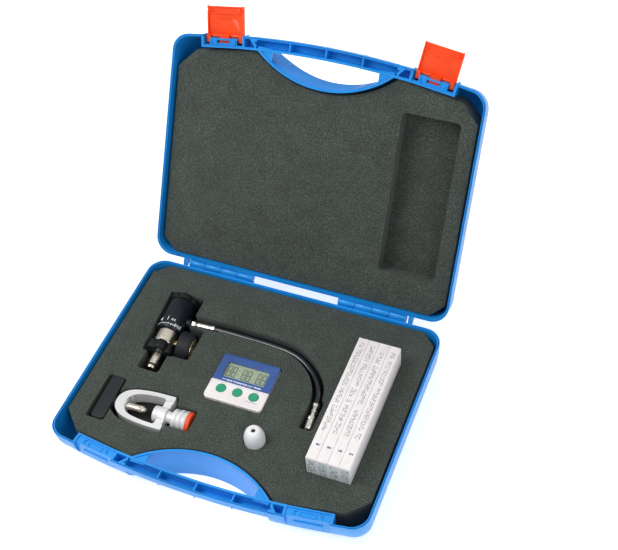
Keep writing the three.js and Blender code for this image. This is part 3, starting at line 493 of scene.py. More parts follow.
# The route in the foam's channel, in mm in the case frame.
HOSE_ROUTE = [
    (-65.9, -66), (-58, -65.8), (-50, -65.7), (-40, -65.8), (-25, -66), (-10, -66.2),
    (4, -66.9), (16, -68), (27.5, -70.4), (38.5, -74.8), (48, -80.8), (56, -87.6),
    (63, -95.8), (68, -104.5), (71.2, -113.5), (72.3, -121.5),
]
REGULATOR_Z = (CASE.inverted() @ REGULATOR.translation).z / MM


def hose_points(steps=6):
    """Centripetal Catmull-Rom curve through the route, ends extended by reflection."""
    route = [Vector((x, y, REGULATOR_Z)) for x, y in HOSE_ROUTE]
    padded = [2 * route[0] - route[1], *route, 2 * route[-1] - route[-2]]
    points = []
    for p0, p1, p2, p3 in zip(padded, padded[1:], padded[2:], padded[3:]):
        t1 = (p1 - p0).length ** 0.5
        t2 = t1 + (p2 - p1).length ** 0.5
        t3 = t2 + (p3 - p2).length ** 0.5
        for i in range(steps):
            t = t1 + (t2 - t1) * i / steps
            a1 = p0.lerp(p1, t / t1)
            a2 = p1.lerp(p2, (t - t1) / (t2 - t1))
            a3 = p2.lerp(p3, (t - t2) / (t3 - t2))
            b1 = a1.lerp(a2, t / t2)
            b2 = a2.lerp(a3, (t - t1) / (t3 - t1))
            points.append(b1.lerp(b2, (t - t1) / (t2 - t1)))
    return [*points, route[-1]]


def make_hose():
    points = [CASE @ (p * MM) for p in hose_points()]
    curve = bpy.data.curves.new("hose_line", "CURVE")
    curve.dimensions = "3D"
    curve.bevel_depth = HOSE_RADIUS * MM
    curve.bevel_resolution = 8
    curve.use_fill_caps = True
    spline = curve.splines.new("POLY")
    spline.points.add(len(points) - 1)
    for target, point in zip(spline.points, points):
        target.co = (*point, 1)
    spline.use_smooth = True
    hose = bpy.data.objects.new("hose_line", curve)
    bpy.context.scene.collection.objects.link(hose)
    curve.materials.append(HOSE)
    place(hose, "regulator", "hose_rubber", "hose")
    length = sum((b - a).length for a, b in zip(points, points[1:]))
    return hose, points[0], length


HOSE_END = Vector((*HOSE_ROUTE[-1], REGULATOR_Z))
COUPLER = axes_at(CASE @ (HOSE_END * MM), -Vector(JOINTS["coupler_collar_pull"]["axis"]))
PORT_S = 40  # hose port, along the regulator's axis
PORT_END = 19.5
UNION = shifted(REGULATOR, PORT_S) @ Matrix.Rotation(math.pi / 2, 4, "Z")


def ringed(x0, x1, radius, pitch, depth):
    """A profile with round grooves at the given pitch."""
    count = max(1, round((x1 - x0) / pitch))
    points = []
    for i in range(count):
        start = x0 + (x1 - x0) * i / count
        step = (x1 - x0) / count
        points += [(start, radius - depth), (start + 0.22 * step, radius), (start + 0.78 * step, radius)]
    return [*points, (x1, radius - depth)]


def make_coupler():
    ferrule = build("hose_end_ferrule", turned(
        [(0.6, 4.7), (0.8, 5.1), (1.8, 5.1), (2.0, 4.7), (3, 4.4), (4.6, 4.4), (4.9, 4.1), (5.2, 3.6),
         (8, 3.6)]),
        COUPLER, CHROME)
    place(ferrule, "regulator", "chrome", "end_ferrule")
    body = build("quick_coupler_body", turned(
        [(8.3, 3.4), (8.8, 4.5), (9.1, 4.6), (10.6, 4.6), (11, 4.2), (11.3, 3.6), (15.4, 3.5), (28, 3.5),
         (28.6, 3)]),
        COUPLER, CHROME)
    place(body, "regulator", "chrome", "coupler_body")
    sleeve = build("quick_coupler_sleeve", lathe(
        [(16.4, 3.8), (16.4, 5), (16.7, 5.4), (19.6, 5.4), (19.9, 5.2), (20.1, 4.8), (20.5, 4.75),
         (20.8, 5.05), *ringed(21.2, 26, 5.1, 1.6, 0.05), (30.6, 5.3), (31.6, 5.4), (32, 5.1),
         (32, 4.1), (29.4, 3.8)], 64, loop=True),
        COUPLER, CHROME)
    place(sleeve, "coupler_collar", "chrome", "coupler_sleeve")
    return ferrule, body, sleeve


hose, hose_exit, hose_length = make_hose()
list(make_coupler())


def make_union():
    """Silver union nut with its hexagon, and the crimped ferrule on the hose."""
    hexagon = [(5.54 * math.cos(a), 5.54 * math.sin(a)) for a in (math.radians(60 * i) for i in range(6))]
    start, crimp, end = PORT_END + 0.6, 26.3, 46.6
    nut = turned_about(prism(hexagon, 0, 4), "Y", 90, (start + 0.5, 0, 0))
    union = build("hose_union_nut", [nut, turned([(start, 3.6), (start + 0.6, 3.6)]), turned(
        [(start + 4.4, 3.3), (start + 4.6, 4.2), (start + 5, 4.2), (start + 5.4, 3.6), (crimp - 0.3, 3.6)])],
        UNION, CHROME)
    place(bevel(union, 0.3), "regulator", "chrome", "hose_union")
    ferrule = build("hose_crimp_ferrule", turned(
        [(crimp, 3.9), (crimp + 0.5, 4.4), *ringed(crimp + 1.5, end - 6, 4.4, 3.4, 0.12), (end - 3, 4.4),
         (end - 2.4, 5.1), (end - 0.4, 5.2), (end, 4.8)]), UNION, CHROME)
    place(ferrule, "regulator", "chrome", "hose_ferrule")


# ---------- case ----------
CASE_WIDTH = 340
HALF_HEIGHT = 41.5
FRONT_Y = -260.5
BOW_RADIUS = 907
CORNER_RADIUS = 19
WALL = 2.4
FLOOR = 2.5
GRIP_DEPTH = 13.5
GRIP_HEIGHT = 14
GRIP_HALF = 91
HOLE_HALF = 76
HOLE_RADIUS = 109
HOLE_Y = -327.5
LATCH_X = 114.5
LATCH_WIDTH = 41
LATCH_RECESS = 4
POCKET_HALF = LATCH_WIDTH / 2 + 1.5
POCKET_DEPTH = 27
# Depth below the rim, with the wall's insets there at the sides, the back and the front.
WALL_PROFILE = [
    (0, 0, 0, 0), (10, 0.4, 0.4, 1), (21, 1.1, 1.1, 3.9), (30, 2.6, 2.6, 8.8), (37.5, 7, 7, 16.4),
    (HALF_HEIGHT, 15, 15, 28),
]


def front(x):
    return FRONT_Y + BOW_RADIUS - math.sqrt(BOW_RADIUS ** 2 - x ** 2)


def smooth_profile(steps=4):
    """The wall profile with a Catmull-Rom curve through its rows."""
    rows = [Vector(row) for row in WALL_PROFILE]
    padded = [2 * rows[0] - rows[1], *rows, 2 * rows[-1] - rows[-2]]
    points = []
    for p0, p1, p2, p3 in zip(padded, padded[1:], padded[2:], padded[3:]):
        for i in range(steps):
            t = i / steps
            points.append(0.5 * ((2 * p1) + (p2 - p0) * t + (2 * p0 - 5 * p1 + 4 * p2 - p3) * t ** 2
                                 + (3 * p1 - p0 - 3 * p2 + p3) * t ** 3))
    return [*points, rows[-1]]


def outline(side, back, ahead, steps=8, bow_steps=30):
    """The case's outline, pulled in at the sides, the back and the front."""
    half = CASE_WIDTH / 2 - side
    r = max(CORNER_RADIUS - side * 0.5, 6)
    front_y = front(half - r) + ahead + r
    bow = [(half - r) * (2 * i / bow_steps - 1) for i in range(1, bow_steps)]
    return [
        *arc(half - r, -back - r, r, 0, 90, steps),
        *arc(-half + r, -back - r, r, 90, 180, steps),
        *arc(-half + r, front_y, r, 180, 270, steps),
        *[(x, front(x) + ahead) for x in bow],
        *arc(half - r, front_y, r, 270, 360, steps),
    ]


def shell(inset=0.0, top=0.0, squeeze=1.0):
    rings = []
    for depth, side, back, ahead in smooth_profile():
        z = top if depth == 0 else -depth * squeeze
        rings.append([(x, y, z) for x, y in outline(side + inset, back + inset, ahead + inset)])
    return loft(rings)


def shell_inside(clearance, top):
    return shell(WALL + clearance, top, (HALF_HEIGHT - FLOOR - clearance) / HALF_HEIGHT)


def hole_segment(radius, low, steps=40):
    """Segment of the finger hole's circle above y = low."""
    start = math.degrees(math.asin((low - HOLE_Y) / radius))
    return arc(0, HOLE_Y, radius, start, 180 - start, steps)


def bow_bar(section, x0, x1, steps=40):
    """A bar of constant section (inset, z) along the bowed front."""
    rings = []
    for i in range(steps + 1):
        x = x0 + (x1 - x0) * i / steps
        rings.append([(x, front(x) + inset, z) for inset, z in section])
    return loft(rings)


def at_latch(shape, side):
    x = side * LATCH_X
    turn = Matrix.Rotation(math.asin(x / BOW_RADIUS), 4, "Z")
    return moved(shape, Matrix.Translation((x, front(x), 0)) @ turn)


def rim_ring(outer, inner, z0, z1):
    """A band that follows the rim between two insets."""
    a, b = outline(outer, outer, outer), outline(inner, inner, inner)
    count = len(a)
    verts = [(x, y, z) for ring, z in ((a, z0), (b, z0), (b, z1), (a, z1)) for x, y in ring]
    faces = []
    for k in range(4):
        for i in range(count):
            j = (i + 1) % count
            m = (k + 1) % 4
            faces.append((k * count + i, k * count + j, m * count + j, m * count + i))
    return verts, faces


GRIP_FLOOR = GRIP_HEIGHT - WALL
GRIP_SECTION = [
    (0.25, 0), (WALL, 0), (WALL, -GRIP_FLOOR + 4), (3.6, -GRIP_FLOOR + 1.4), (6, -GRIP_FLOOR),
    (GRIP_DEPTH - WALL, -GRIP_FLOOR), (GRIP_DEPTH - WALL, 0), (GRIP_DEPTH, 0), (GRIP_DEPTH, -GRIP_HEIGHT + 2),
    (GRIP_DEPTH - 0.6, -GRIP_HEIGHT + 0.6), (GRIP_DEPTH - 2, -GRIP_HEIGHT), (6.5, -GRIP_HEIGHT),
    (4.6, -GRIP_HEIGHT + 0.4), (3.4, -GRIP_HEIGHT + 1.2), (2.2, -GRIP_HEIGHT + 2.2),
    (1.4, -GRIP_HEIGHT + 3.4),
    (0.7, -8.5), (0.5, -6),
]


def latch_pocket_walls(side):
    wide = POCKET_HALF + WALL
    walls = [
        box(-wide, wide, 0, GRIP_DEPTH, -2.2, 0),
        box(-wide, wide, 0, LATCH_RECESS + 2.2, -POCKET_DEPTH - 2.2, 0),
        box(-wide, wide, GRIP_DEPTH - 2.2, GRIP_DEPTH, -9, 0),
        box(-wide, -POCKET_HALF + 0.4, 0, GRIP_DEPTH, -16, 0),
        box(POCKET_HALF - 0.4, wide, 0, GRIP_DEPTH, -16, 0),
    ]
    return [at_latch(wall, side) for wall in walls]


def deck_details(side):
    """Raised frame and two small angle hooks on the deck of a latch pocket."""
    low = -2.2
    parts = [
        box(-8, 8, 4.6, 5.4, low, -0.5), box(-8, 8, 9.2, 10, low, -0.5),
        box(-8, -7.2, 4.6, 10, low, -0.5), box(7.2, 8, 4.6, 10, low, -0.5),
    ]
    for s in (-1, 1):
        parts.append(box(min(11 * s, 14 * s), max(11 * s, 14 * s), 9.4, 10.2, low, -0.1))
        parts.append(box(min(13.2 * s, 14 * s), max(13.2 * s, 14 * s), 5.4, 10.2, low, -0.1))
    return [at_latch(part, side) for part in parts]


def half_case(name, base, extras):
    """One moulded half, opening towards +z of its frame."""
    piece = build(name, shell(), base, BLUE)
    fittings = [
        prism(hole_segment(HOLE_RADIUS + WALL, -256), -HALF_HEIGHT, 0),
        *[box(min(s * 75, s * 78.4), max(s * 75, s * 78.4), FRONT_Y - 2, FRONT_Y + 16, -HALF_HEIGHT, -0.5)
          for s in (-1, 1)],
        *[wall for s in (-1, 1) for wall in latch_pocket_walls(s)],
    ]
    lining = build("lining", fittings[0], base, BLUE)
    combine(lining, [("UNION", shape) for shape in fittings[1:]] + [("INTERSECT", shell())], base)
    ahead = [(-8, 2), (GRIP_DEPTH, 2), (GRIP_DEPTH, -60), (-8, -60)]
    ribs = [
        bow_bar([(1, -0.8), (GRIP_DEPTH - 1, -0.8), (GRIP_DEPTH - 1, -GRIP_FLOOR - 0.5),
                 (1, -GRIP_FLOOR - 0.5)], x - 0.8, x + 0.8, 1)
        for x in (-GRIP_HALF, -39.3, 0, 39.3, GRIP_HALF)
    ]
    web_plan = hole_segment(HOLE_RADIUS + 1, FRONT_Y + 12)
    webs = []
    for s in (-1, 1):
        web = build(f"web_{s}", prism(web_plan, -3.2, -1), base, BLUE)
        combine(web, [("INTERSECT", box(min(58 * s, 74 * s), max(58 * s, 74 * s), -249, -232, -4, 0))], base)
        webs.append(web)
    recess = box(-POCKET_HALF, POCKET_HALF, -12, LATCH_RECESS, -POCKET_DEPTH, 2)
    deck = box(-POCKET_HALF, POCKET_HALF, LATCH_RECESS - 1, GRIP_DEPTH - 1.5, -1.3, 2)
    steps = [
        ("DIFFERENCE", shell_inside(0, 1)),
        ("UNION", lining),
        ("DIFFERENCE", prism(hole_segment(HOLE_RADIUS, FRONT_Y + 8), -60, 2)),
        ("DIFFERENCE", bow_bar(ahead, -HOLE_HALF, HOLE_HALF)),
        ("UNION", bow_bar(GRIP_SECTION, -GRIP_HALF, GRIP_HALF)),
        *[("UNION", rib) for rib in ribs],
        *[("UNION", web) for web in webs],
        ("DIFFERENCE", rim_ring(0.85, 1.6, -1.3, 0.5)),
        *[("DIFFERENCE", at_latch(recess, s)) for s in (-1, 1)],
        *[("DIFFERENCE", at_latch(deck, s)) for s in (-1, 1)],
        *[("UNION", part) for s in (-1, 1) for part in deck_details(s)],
        *extras,
    ]
    combine(piece, steps, base)
    return bevel(piece, 0.28, 2, 50, 45)


KNUCKLE_RADIUS = 3.4
KNUCKLE_LENGTH = 19
HINGE_INNER_X = 50
KNUCKLE_STARTS = [HINGE_INNER_X + i * (KNUCKLE_LENGTH + 0.4) for i in (3, 2, 1, 0)]
BASE_WEB = [(-1.4, -8), (3.5, -3.2), (6.2, 0.2), (HINGE_Y, HINGE_Z), (0.45, HINGE_Z), (0.45, -0.2),
            (-1.4, -0.2)]
TROUGH = [(-1.4, -8), (3.5, -3.4), (4.3, -2.2), (HINGE_Y, -1.6), (2.15, -1.1), (0.6, -0.2), (-1.4, -0.2)]
LID_WEB = [(-1.4, -10), (3.2, -7.5), (6, -5), (HINGE_Y, -HINGE_Z), (0.45, -1), (0.45, -0.4), (-1.4, -0.4)]
LID_STOP = [(-1.4, -6), (3.5, -5.6), (8.3, -2.6), (8.3, -0.6), (HINGE_Y, 0.6), (0.45, -0.4), (-1.4, -0.4)]


def slab(section, x0, x1):
    """An extrusion along x of a section in the y-z plane."""
    verts, faces = prism(section, x0, x1)
    return [(z, x, y) for x, y, z in verts], faces


def hinge_steps(starts, web, height):
    """Knuckles with rounded ends, their webs and the pin's bore, on both sides."""
    steps = []
    for side in (-1, 1):
        for start in starts:
            x0, x1 = sorted((side * start, side * (start + KNUCKLE_LENGTH)))
            barrel = turned([(x0, KNUCKLE_RADIUS - 0.4), (x0 + 0.4, KNUCKLE_RADIUS),
                             (x1 - 0.4, KNUCKLE_RADIUS), (x1, KNUCKLE_RADIUS - 0.4)], 32)
            steps.append(("UNION", moved(barrel, Matrix.Translation((0, HINGE_Y, height)))))
            steps.append(("UNION", slab(web, x0, x1)))
    for side in (-1, 1):
        x0, x1 = sorted((side * (HINGE_INNER_X - 6), side * (KNUCKLE_STARTS[0] + KNUCKLE_LENGTH + 6)))
        bore = turned([(x0, 1.35), (x1, 1.35)], 16)
        steps.append(("DIFFERENCE", moved(bore, Matrix.Translation((0, HINGE_Y, height)))))
    return steps


def make_case():
    catches = [("UNION", at_latch(box(-14, 14, 2.9, 4.5, -12.2, -9.6), s)) for s in (-1, 1)]
    base_extras = hinge_steps((KNUCKLE_STARTS[0], KNUCKLE_STARTS[2]), BASE_WEB, HINGE_Z) + catches
    for s in (-1, 1):
        for start in (KNUCKLE_STARTS[1], KNUCKLE_STARTS[3]):
            x0, x1 = sorted((s * (start - 0.5), s * (start + KNUCKLE_LENGTH + 0.5)))
            base_extras.append(("UNION", slab(TROUGH, x0, x1)))
    case = half_case("case_lower_half", CASE, base_extras)
    place(case, "case", "case_blue", "case_base")
    lid_extras = hinge_steps((KNUCKLE_STARTS[1], KNUCKLE_STARTS[3]), LID_WEB, -HINGE_Z)
    for s in (-1, 1):
        lid_extras.append(("UNION", slab(LID_STOP, *sorted((s * 129.5, s * 134.5)))))
        for e in (-1, 1):
            x0, x1 = sorted((e * POCKET_HALF, e * (POCKET_HALF + WALL)))
            lid_extras.append(("UNION", at_latch(box(x0, x1, 0.6, 6, -14, -4), s)))
        socket = turned([(-POCKET_HALF - 1.6, 1.4), (POCKET_HALF + 1.6, 1.4)], 16)
        lid_extras.append(("DIFFERENCE", at_latch(moved(socket, Matrix.Translation((0, 2.2, -9))), s)))
        lid_extras.append(("DIFFERENCE", at_latch(box(-6.6, 6.6, 6, 8.6, -4, 2), s)))
        lid_extras.append(("DIFFERENCE", at_latch(box(-6.2, 6.2, 3.5, 11, -17.4, -2.6), s)))
        for x0, x1 in ((-21.5, -15.4), (15.4, 21.5)):
            lid_extras.append(("DIFFERENCE", at_latch(box(x0, x1, 3.5, 10.6, -17.4, 2), s)))
    rim_gap = 0.1
    lid_extras.append(("DIFFERENCE", box(-CASE_WIDTH, CASE_WIDTH, 2 * FRONT_Y, 0.3, -rim_gap, 3)))
    lid = half_case("case_upper_half", LID @ FLIP, lid_extras)
    place(lid, "lid", "case_blue", "case_lid")


# ---------- latches ----------
HOOK_REACH = 23.6  # from the pivot to the far side of the inner hook


def make_latch(name, body):
    """Snap latch, seen from its inner side when open: U section, cross rib, end lip and a broken ridge."""
    joint = JOINTS[f"{name}_latch_hinge"]
    base = axes_at(joint["pos_m"], -Vector(joint["axis"]), LID_UP)
    half, length, face = LATCH_WIDTH / 2, 30, 2.2
    piece = build(f"snap_latch_{name}", box(-half, half, -length, -1.4, face - 1.6, face), base, ORANGE)
    steps = []
    for s in (-1, 1):
        x0, x1 = sorted((s * (half - 1.3), s * half))
        wall = [(-length + 0.6, face), (-length - 0.6, face - 0.8), (-length - 0.6, -1),
                (-length + 1.4, -1.3), (-length + 2.4, -0.2), (-length + 4.6, -0.2),
                (-length + 5.2, -1.3), (0.4, -1.3), (0.8, -0.8), (0.8, face - 0.4), (0.4, face)]
        steps.append(("UNION", slab(wall, x0, x1)))
        for inset in (3.6, 5.6):
            bars = sorted((s * (half - inset), s * (half - inset + 1)))
            steps.append(("UNION", box(*bars, -length + 0.6, -length + 6, -0.4, face - 1)))
        lug = sorted((s * 15.9, s * (half - 0.3)))
        steps.append(("UNION", box(*lug, -1, 6.4, -4.4, -0.6)))
        steps.append(("UNION", box(*lug, -1.5, 1.5, -4.4, 0.6)))
    steps.append(("UNION", box(-half, half, -length, -length + 1.2, -0.9, face)))
    steps.append(("UNION", box(-half, half, -HOOK_REACH, -HOOK_REACH + 1.1, -1.1, face - 1)))
    for x0, x1, rise in ((-12, -7, 0.1), (-5.4, 5.4, -0.7), (7, 12, 0.1)):
        steps.append(("UNION", box(x0, x1, -18.4, -17.3, rise, face - 1)))
    steps.append(("UNION", box(-5.6, 5.6, -1, 6.8, -5, -3.8)))
    steps.append(("UNION", box(-5.6, 5.6, -1.5, 1.5, -5, 0.6)))
    steps.append(("UNION", box(-half, half, -1.6, 0, -0.8, face)))
    steps.append(("UNION", turned([(-half, 1.7), (half, 1.7)], 32)))
    steps.append(("DIFFERENCE", turned([(-30, 1.15), (30, 1.15)], 16)))
    steps.append(("DIFFERENCE", moved(upright(1.8, 0.3, 0.9, 24), Matrix.Translation((0, -9, 0)))))
    combine(piece, steps, base)
    place(bevel(piece, 0.3, 2, 50), body, "latch_orange", f"latch_{name}")


# ---------- foam ----------
FOAM_HALF_WIDTH = 164


def foam_outline():
    w = FOAM_HALF_WIDTH
    radius = HOLE_RADIUS + WALL + 3.6
    end_x = 77
    end = math.degrees(math.acos(end_x / radius))
    return [
        (-w, -18), (-w + 15, -3.6), (w - 15, -3.6), (w, -18), (w, -212), (w - 19, -231.5),
        *arc(0, HOLE_Y, radius, end, 180 - end, 40), (-w + 19, -231.5), (-w, -212),
    ][::-1]


def channel(half_width):
    """Plan outline of the hose's channel."""
    points = hose_points(3)
    left, right = [], []
    for i, point in enumerate(points):
        a, b = points[max(i - 1, 0)], points[min(i + 1, len(points) - 1)]
        along = (b - a).normalized()
        left.append((point.x - along.y * half_width, point.y + along.x * half_width))
        right.append((point.x + along.y * half_width, point.y - along.x * half_width))
    return left + right[::-1]


def local_mm(base, point):
    return (base.inverted() @ Vector(point)) / MM


def node_span(node):
    """A node's box in the case frame, in mm: x0, x1, y0, y1, z0, z1."""
    low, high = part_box(node)
    a, b = local_mm(CASE, low), local_mm(CASE, high)
    return a.x, b.x, a.y, b.y, a.z, b.z


def base_pockets():
    top = BASE_FOAM_TOP + 4
    yoke = local_mm(CASE, YOKE.translation)
    timer = node_span("timer_back")
    opener = node_span("opener_tray")
    cartons = node_span("tube_carton_1")[:1] + node_span("tube_carton_4")[1:]
    reg = REGULATOR_Z
    cup_x, cup_y = (opener[0] + opener[1]) / 2, (opener[2] + opener[3]) / 2
    regulator_plan = [
        (-131.4, -40), *arc(-128.6, -39.4, 2.8, 150, 90, 4), *arc(-94.2, -39.6, 3, 90, 0, 5), (-91.2, -62),
        *arc(-94, -116.6, 2.8, 0, -90, 5), *arc(-124.2, -116.6, 2.8, -90, -178, 5),
    ]
    yoke_plan = [(-126, -194), (-122.5, -199), (-116, -203.5), (-108, -206.8), (-100, -208.4), (-80, -209.7),
                 (-62, -210), (-60, -208), (-60, -164.4), (-62, -162.4), (-76, -162.2), (-90, -163.2),
                 (-101, -165), (-110, -167.6), (-117, -171), (-122.5, -175.5), (-126, -180)]
    return [
        prism(regulator_plan, reg - 17.6, top),
        prism(rounded(-121, -96.5, -142.6, -112, 3), reg - 15.4, top),
        prism(rounded(-100, -73, -118, -76, 4), reg - 23, top),
        prism(rounded(-97, -58, -73.2, -59.8, 2), reg - 6.4, top),
        prism(channel(6.1), reg - HOSE_RADIUS - 0.5, top),
        prism(rounded(66.9, 81.6, -157.5, -119, 3), reg - 6.2, top),
        prism(rounded(-143.8, -123, -213.9, -159.3, 3), yoke.z - 27.6, top),
        prism(yoke_plan[::-1], yoke.z - 9.4, top),
        prism(rounded(-63, -35.4, -198.5, -171.5, 3), yoke.z - 12.4, top),
        prism(rounded(timer[0] - 1, timer[1] + 1, timer[2] - 1, timer[3] + 1, 4.6), timer[4] - 0.4, top),
        moved(upright(11.6, opener[4] - 0.4, top), Matrix.Translation((cup_x, cup_y, 0))),
        box(cartons[0] - 0.8, cartons[1] + 0.8, cartons[2] - 0.8, cartons[3] + 0.8, cartons[4] - 0.4, top),
    ]


def make_foam():
    block = build("foam_base_insert", prism(foam_outline(), -HALF_HEIGHT, BASE_FOAM_TOP), CASE, FOAM)
    inside = shell_inside(0.8, 0.5)
    combine(block, [("INTERSECT", inside)] + [("DIFFERENCE", pocket) for pocket in base_pockets()], CASE)
    bevel(block, 0.7, 3, 55, 50)
    place(block, "case", "foam_grey", "base_foam")
    upper = LID @ FLIP
    lid = build("foam_lid_insert", prism(foam_outline(), -HALF_HEIGHT, -LID_FOAM_FACE), upper, LID_FOAM)
    recess = prism(rounded(86.5, 148, -210.5, -39.5, 5), -25.5, -LID_FOAM_FACE + 2)
    combine(lid, [("INTERSECT", inside), ("DIFFERENCE", recess)], upper)
    bevel(lid, 0.9, 3, 55, 50)
    place(lid, "lid", "foam_grey", "lid_foam", "lid_foam_plug")


# ---------- regulator ----------
def lobes(count, depth, x0, x1, turn=15):
    """Swell for a grip with broad lobes and narrow grooves that fade at its ends."""
    def swell(x, angle):
        share = min(1, max(0, (x - x0) / 1.2), max(0, (x1 - x) / 1.2))
        return 1 - depth * share * (0.5 - 0.5 * math.cos(count * (angle - math.radians(turn)))) ** 4
    return swell


def strokes_round(radius, strokes):
    """Short raised strokes on a cylinder about +X, each (x0, x1, angle from the top, width)."""
    shapes = []
    for x0, x1, angle, width in strokes:
        stroke = box(x0, x1, -width / 2, width / 2, radius - 0.1, radius + 0.06)
        shapes.append(moved(stroke, Matrix.Rotation(math.radians(angle), 4, "X")))
    return shapes


def bonnet_strokes():
    """Generic marks near the bonnet's lower end: a long line, two rows of short strokes and an arrow."""
    rng = random.Random(5)
    strokes = [(55.4, 56.1, angle, 0.55) for angle in range(14, 66, 2)]
    strokes += [(53.6, 54.3, angle, 0.55) for angle in range(-54, -34, 2)]
    strokes += [(46.4, 51.2, 9, 0.7), (51.5, 57, -57, 0.7), (52.4, 56.8, -30, 0.6)]
    for i, length in enumerate((4.2, 3.2, 2.2, 1.2)):
        strokes.append((50 - length / 2, 50 + length / 2, 36 + 3 * i, 0.8))
    angle = -50
    while angle < 10:
        start = 54.4 + rng.uniform(0, 0.8)
        strokes.append((start, start + rng.uniform(1, 2.2), angle, 0.8))
        angle += rng.choice((4.6, 5.4, 6.4))
    for angle in (-9, -12.5, -19, -22.5):
        strokes.append((48.2, 50.8, angle, 0.55))
    for angle in (-10.5, -20.5):
        strokes += [(48.2, 48.7, angle, 1.1), (50.3, 50.8, angle, 1.1)]
    return strokes


def shifted_mm(x):
    return Matrix.Translation((x, 0, 0))


GAUGE_S = 69  # gauge, along the regulator's axis
GAUGE_AXIS = (REGULATOR.inverted().to_3x3() @ Vector(JOINTS["gauge_pointer_turn"]["axis"])).normalized()


def make_knob():
    knob = build("pressure_knob_grip", turned(
        [(10.5, 11.5), (10.8, 13.6), (11.4, 15.2), (12.4, 16.1), (14, 16.4), (17.2, 16.4), (17.5, 16),
         (17.7, 16.3), (18.3, 16.3), (18.5, 15.9)], 120, lobes(6, 0.13, 10.5, 19)), REGULATOR, BLACK)
    combine(knob, [("DIFFERENCE", turned([(13.5, 4.7), (20, 4.7)], 32))], REGULATOR)
    place(bevel(knob, 0.25, 2, 50), "pressure_knob", "black_plastic", "regulator_knob")


def make_bonnet():
    body = build("regulator_bonnet", turned(
        [(18.8, 14.4), (19.3, 15.0), (20, 15.2), (57.2, 15.2), (58.4, 14.9), (59, 14.2)], 96),
        REGULATOR, BLACK_COATED)
    port = turned_about(
        turned([(8, 5.6), (PORT_END - 0.9, 5.6), (PORT_END, 4.9)], 40), "Z", 90, (PORT_S, 0, 0))
    bores = [turned([(14.5, 4.4), (25, 4.4)], 32), turned([(24, 10.5), (53, 10.5)], 40),
             turned([(51, 4.4), (61, 4.4)], 32)]
    combine(body, [("UNION", port)] + [("DIFFERENCE", bore) for bore in bores], REGULATOR)
    place(body, "regulator", "black_coated", "regulator_body")
    marks = build("bonnet_markings", strokes_round(15.2, bonnet_strokes()), REGULATOR, WHITE_PRINT)
    place(marks, "regulator", "timer_white")


def make_lower_body():
    dip = Matrix.Rotation(math.atan2(GAUGE_AXIS.z, GAUGE_AXIS.y), 4, "X")
    chrome = build("lower_body_sleeve", turned(
        [(59.3, 11.2), (59.8, 11.8), (74.8, 11.8), (75.6, 11.5), (76, 11)], 96), REGULATOR, WARM)
    side_port = moved(turned([(0, 3.3), (14, 3.3)], 24),
                      shifted_mm(GAUGE_S) @ dip @ Matrix.Rotation(math.pi / 2, 4, "Z"))
    combine(chrome, [("DIFFERENCE", side_port)], REGULATOR)
    place(chrome, "regulator", "chrome", "chrome_body")


def make_hand_wheel():
    wheel = build("hand_wheel_grip", turned(
        [(76.3, 13.6), (76.8, 14.8), (77.6, 15.4), (86.6, 15.4), (87.3, 15), (87.8, 14.2), (88, 13.4)], 120,
        lobes(6, 0.17, 75, 90)), REGULATOR, BLACK)
    combine(wheel, [("DIFFERENCE", turned([(75, 6.4), (92, 6.4)], 48))], REGULATOR)
    place(bevel(wheel, 0.25, 2, 50), "hand_wheel", "black_plastic", "inlet_hand_wheel")


def make_nipple():
    nipple = build("inlet_nipple_turned", turned(
        [(76.3, 6), (91, 6), (91.4, 5.6), (92.2, 5.6), *ringed(92.4, 102, 6, 1.2, 0.07), (102.8, 6),
         (103, 5.8), (103, 3.9), (104.8, 3.9), (104.8, 5.2), (105, 5.4), (107.2, 5.2), (107.8, 4.9),
         (108, 4.6)], 64),
        REGULATOR, WARM)
    place(nipple, "regulator", "warm_silver", "inlet_nipple")
    seal_loop = [(103.9 + 0.8 * math.cos(a), 4.9 + 0.8 * math.sin(a))
                 for a in (2 * math.pi * i / 16 for i in range(16))]
    seal = build("nipple_seal_ring", lathe(seal_loop, 64, loop=True), REGULATOR, RUBBER)
    place(seal, "regulator", "black_rubber", "nipple_o_ring")


def make_gauge():
    stem = build("gauge_stem_turned", [turned([(-13.5, 3), (-7.4, 3)]), turned([(-3.2, 3), (-2, 3)]),
                                       turned([(-7.2, 4.4), (-7, 5), (-4.2, 5), (-3.8, 4.4)], 6)],
                 GAUGE, BRASS)
    place(bevel(stem, 0.25), "regulator", "brass", "gauge_stem")
    boot = build("gauge_boot_moulded", lathe(
        [(-3.5, 5), (-3.5, 14.8), (-3, 16), (-2, 16.9), (-1, 17.2), (9.6, 17.2), (9.9, 16.9), (10.2, 17.2),
         (11.2, 17.1), (11.8, 16.8), (12, 16.3), (12, 14.2), (2, 14.2), (2, 5)], 96, loop=True),
        GAUGE, RUBBER)
    place(boot, "regulator", "black_rubber", "gauge_boot")
    shell_ring = build("gauge_case_rim", lathe(
        [(2.3, 1), (2.3, 13.9), (11.9, 13.9), (12.3, 13.7), (12.4, 13.4), (12.4, 12.9), (12.1, 12.7),
         (3.6, 12.7), (3.6, 1)], 96, loop=True), GAUGE, BRASS)
    place(shell_ring, "regulator", "brass", "gauge_case")
    ticks = []
    for i in range(31):
        long = i % 5 == 0
        tick = box(6.55, 6.75, 9.2 if long else 10.4, 11.8, -0.28 if long else -0.14, 0.28 if long else 0.14)
        ticks.append(moved(tick, Matrix.Rotation(math.radians(-45 + 9 * i), 4, "X")))
    scale = build("gauge_dial_scale", ticks, GAUGE, DARK_PRINT)
    place(scale, "regulator", "dial_white")


# ---------- yoke adapter ----------
def bezier(p0, p1, p2, p3, steps=12):
    points = []
    for i in range(1, steps + 1):
        t = i / steps
        u = 1 - t
        points.append(tuple(u ** 3 * a + 3 * u * u * t * b + 3 * u * t * t * c + t ** 3 * d
                            for a, b, c, d in zip(p0, p1, p2, p3)))
    return points


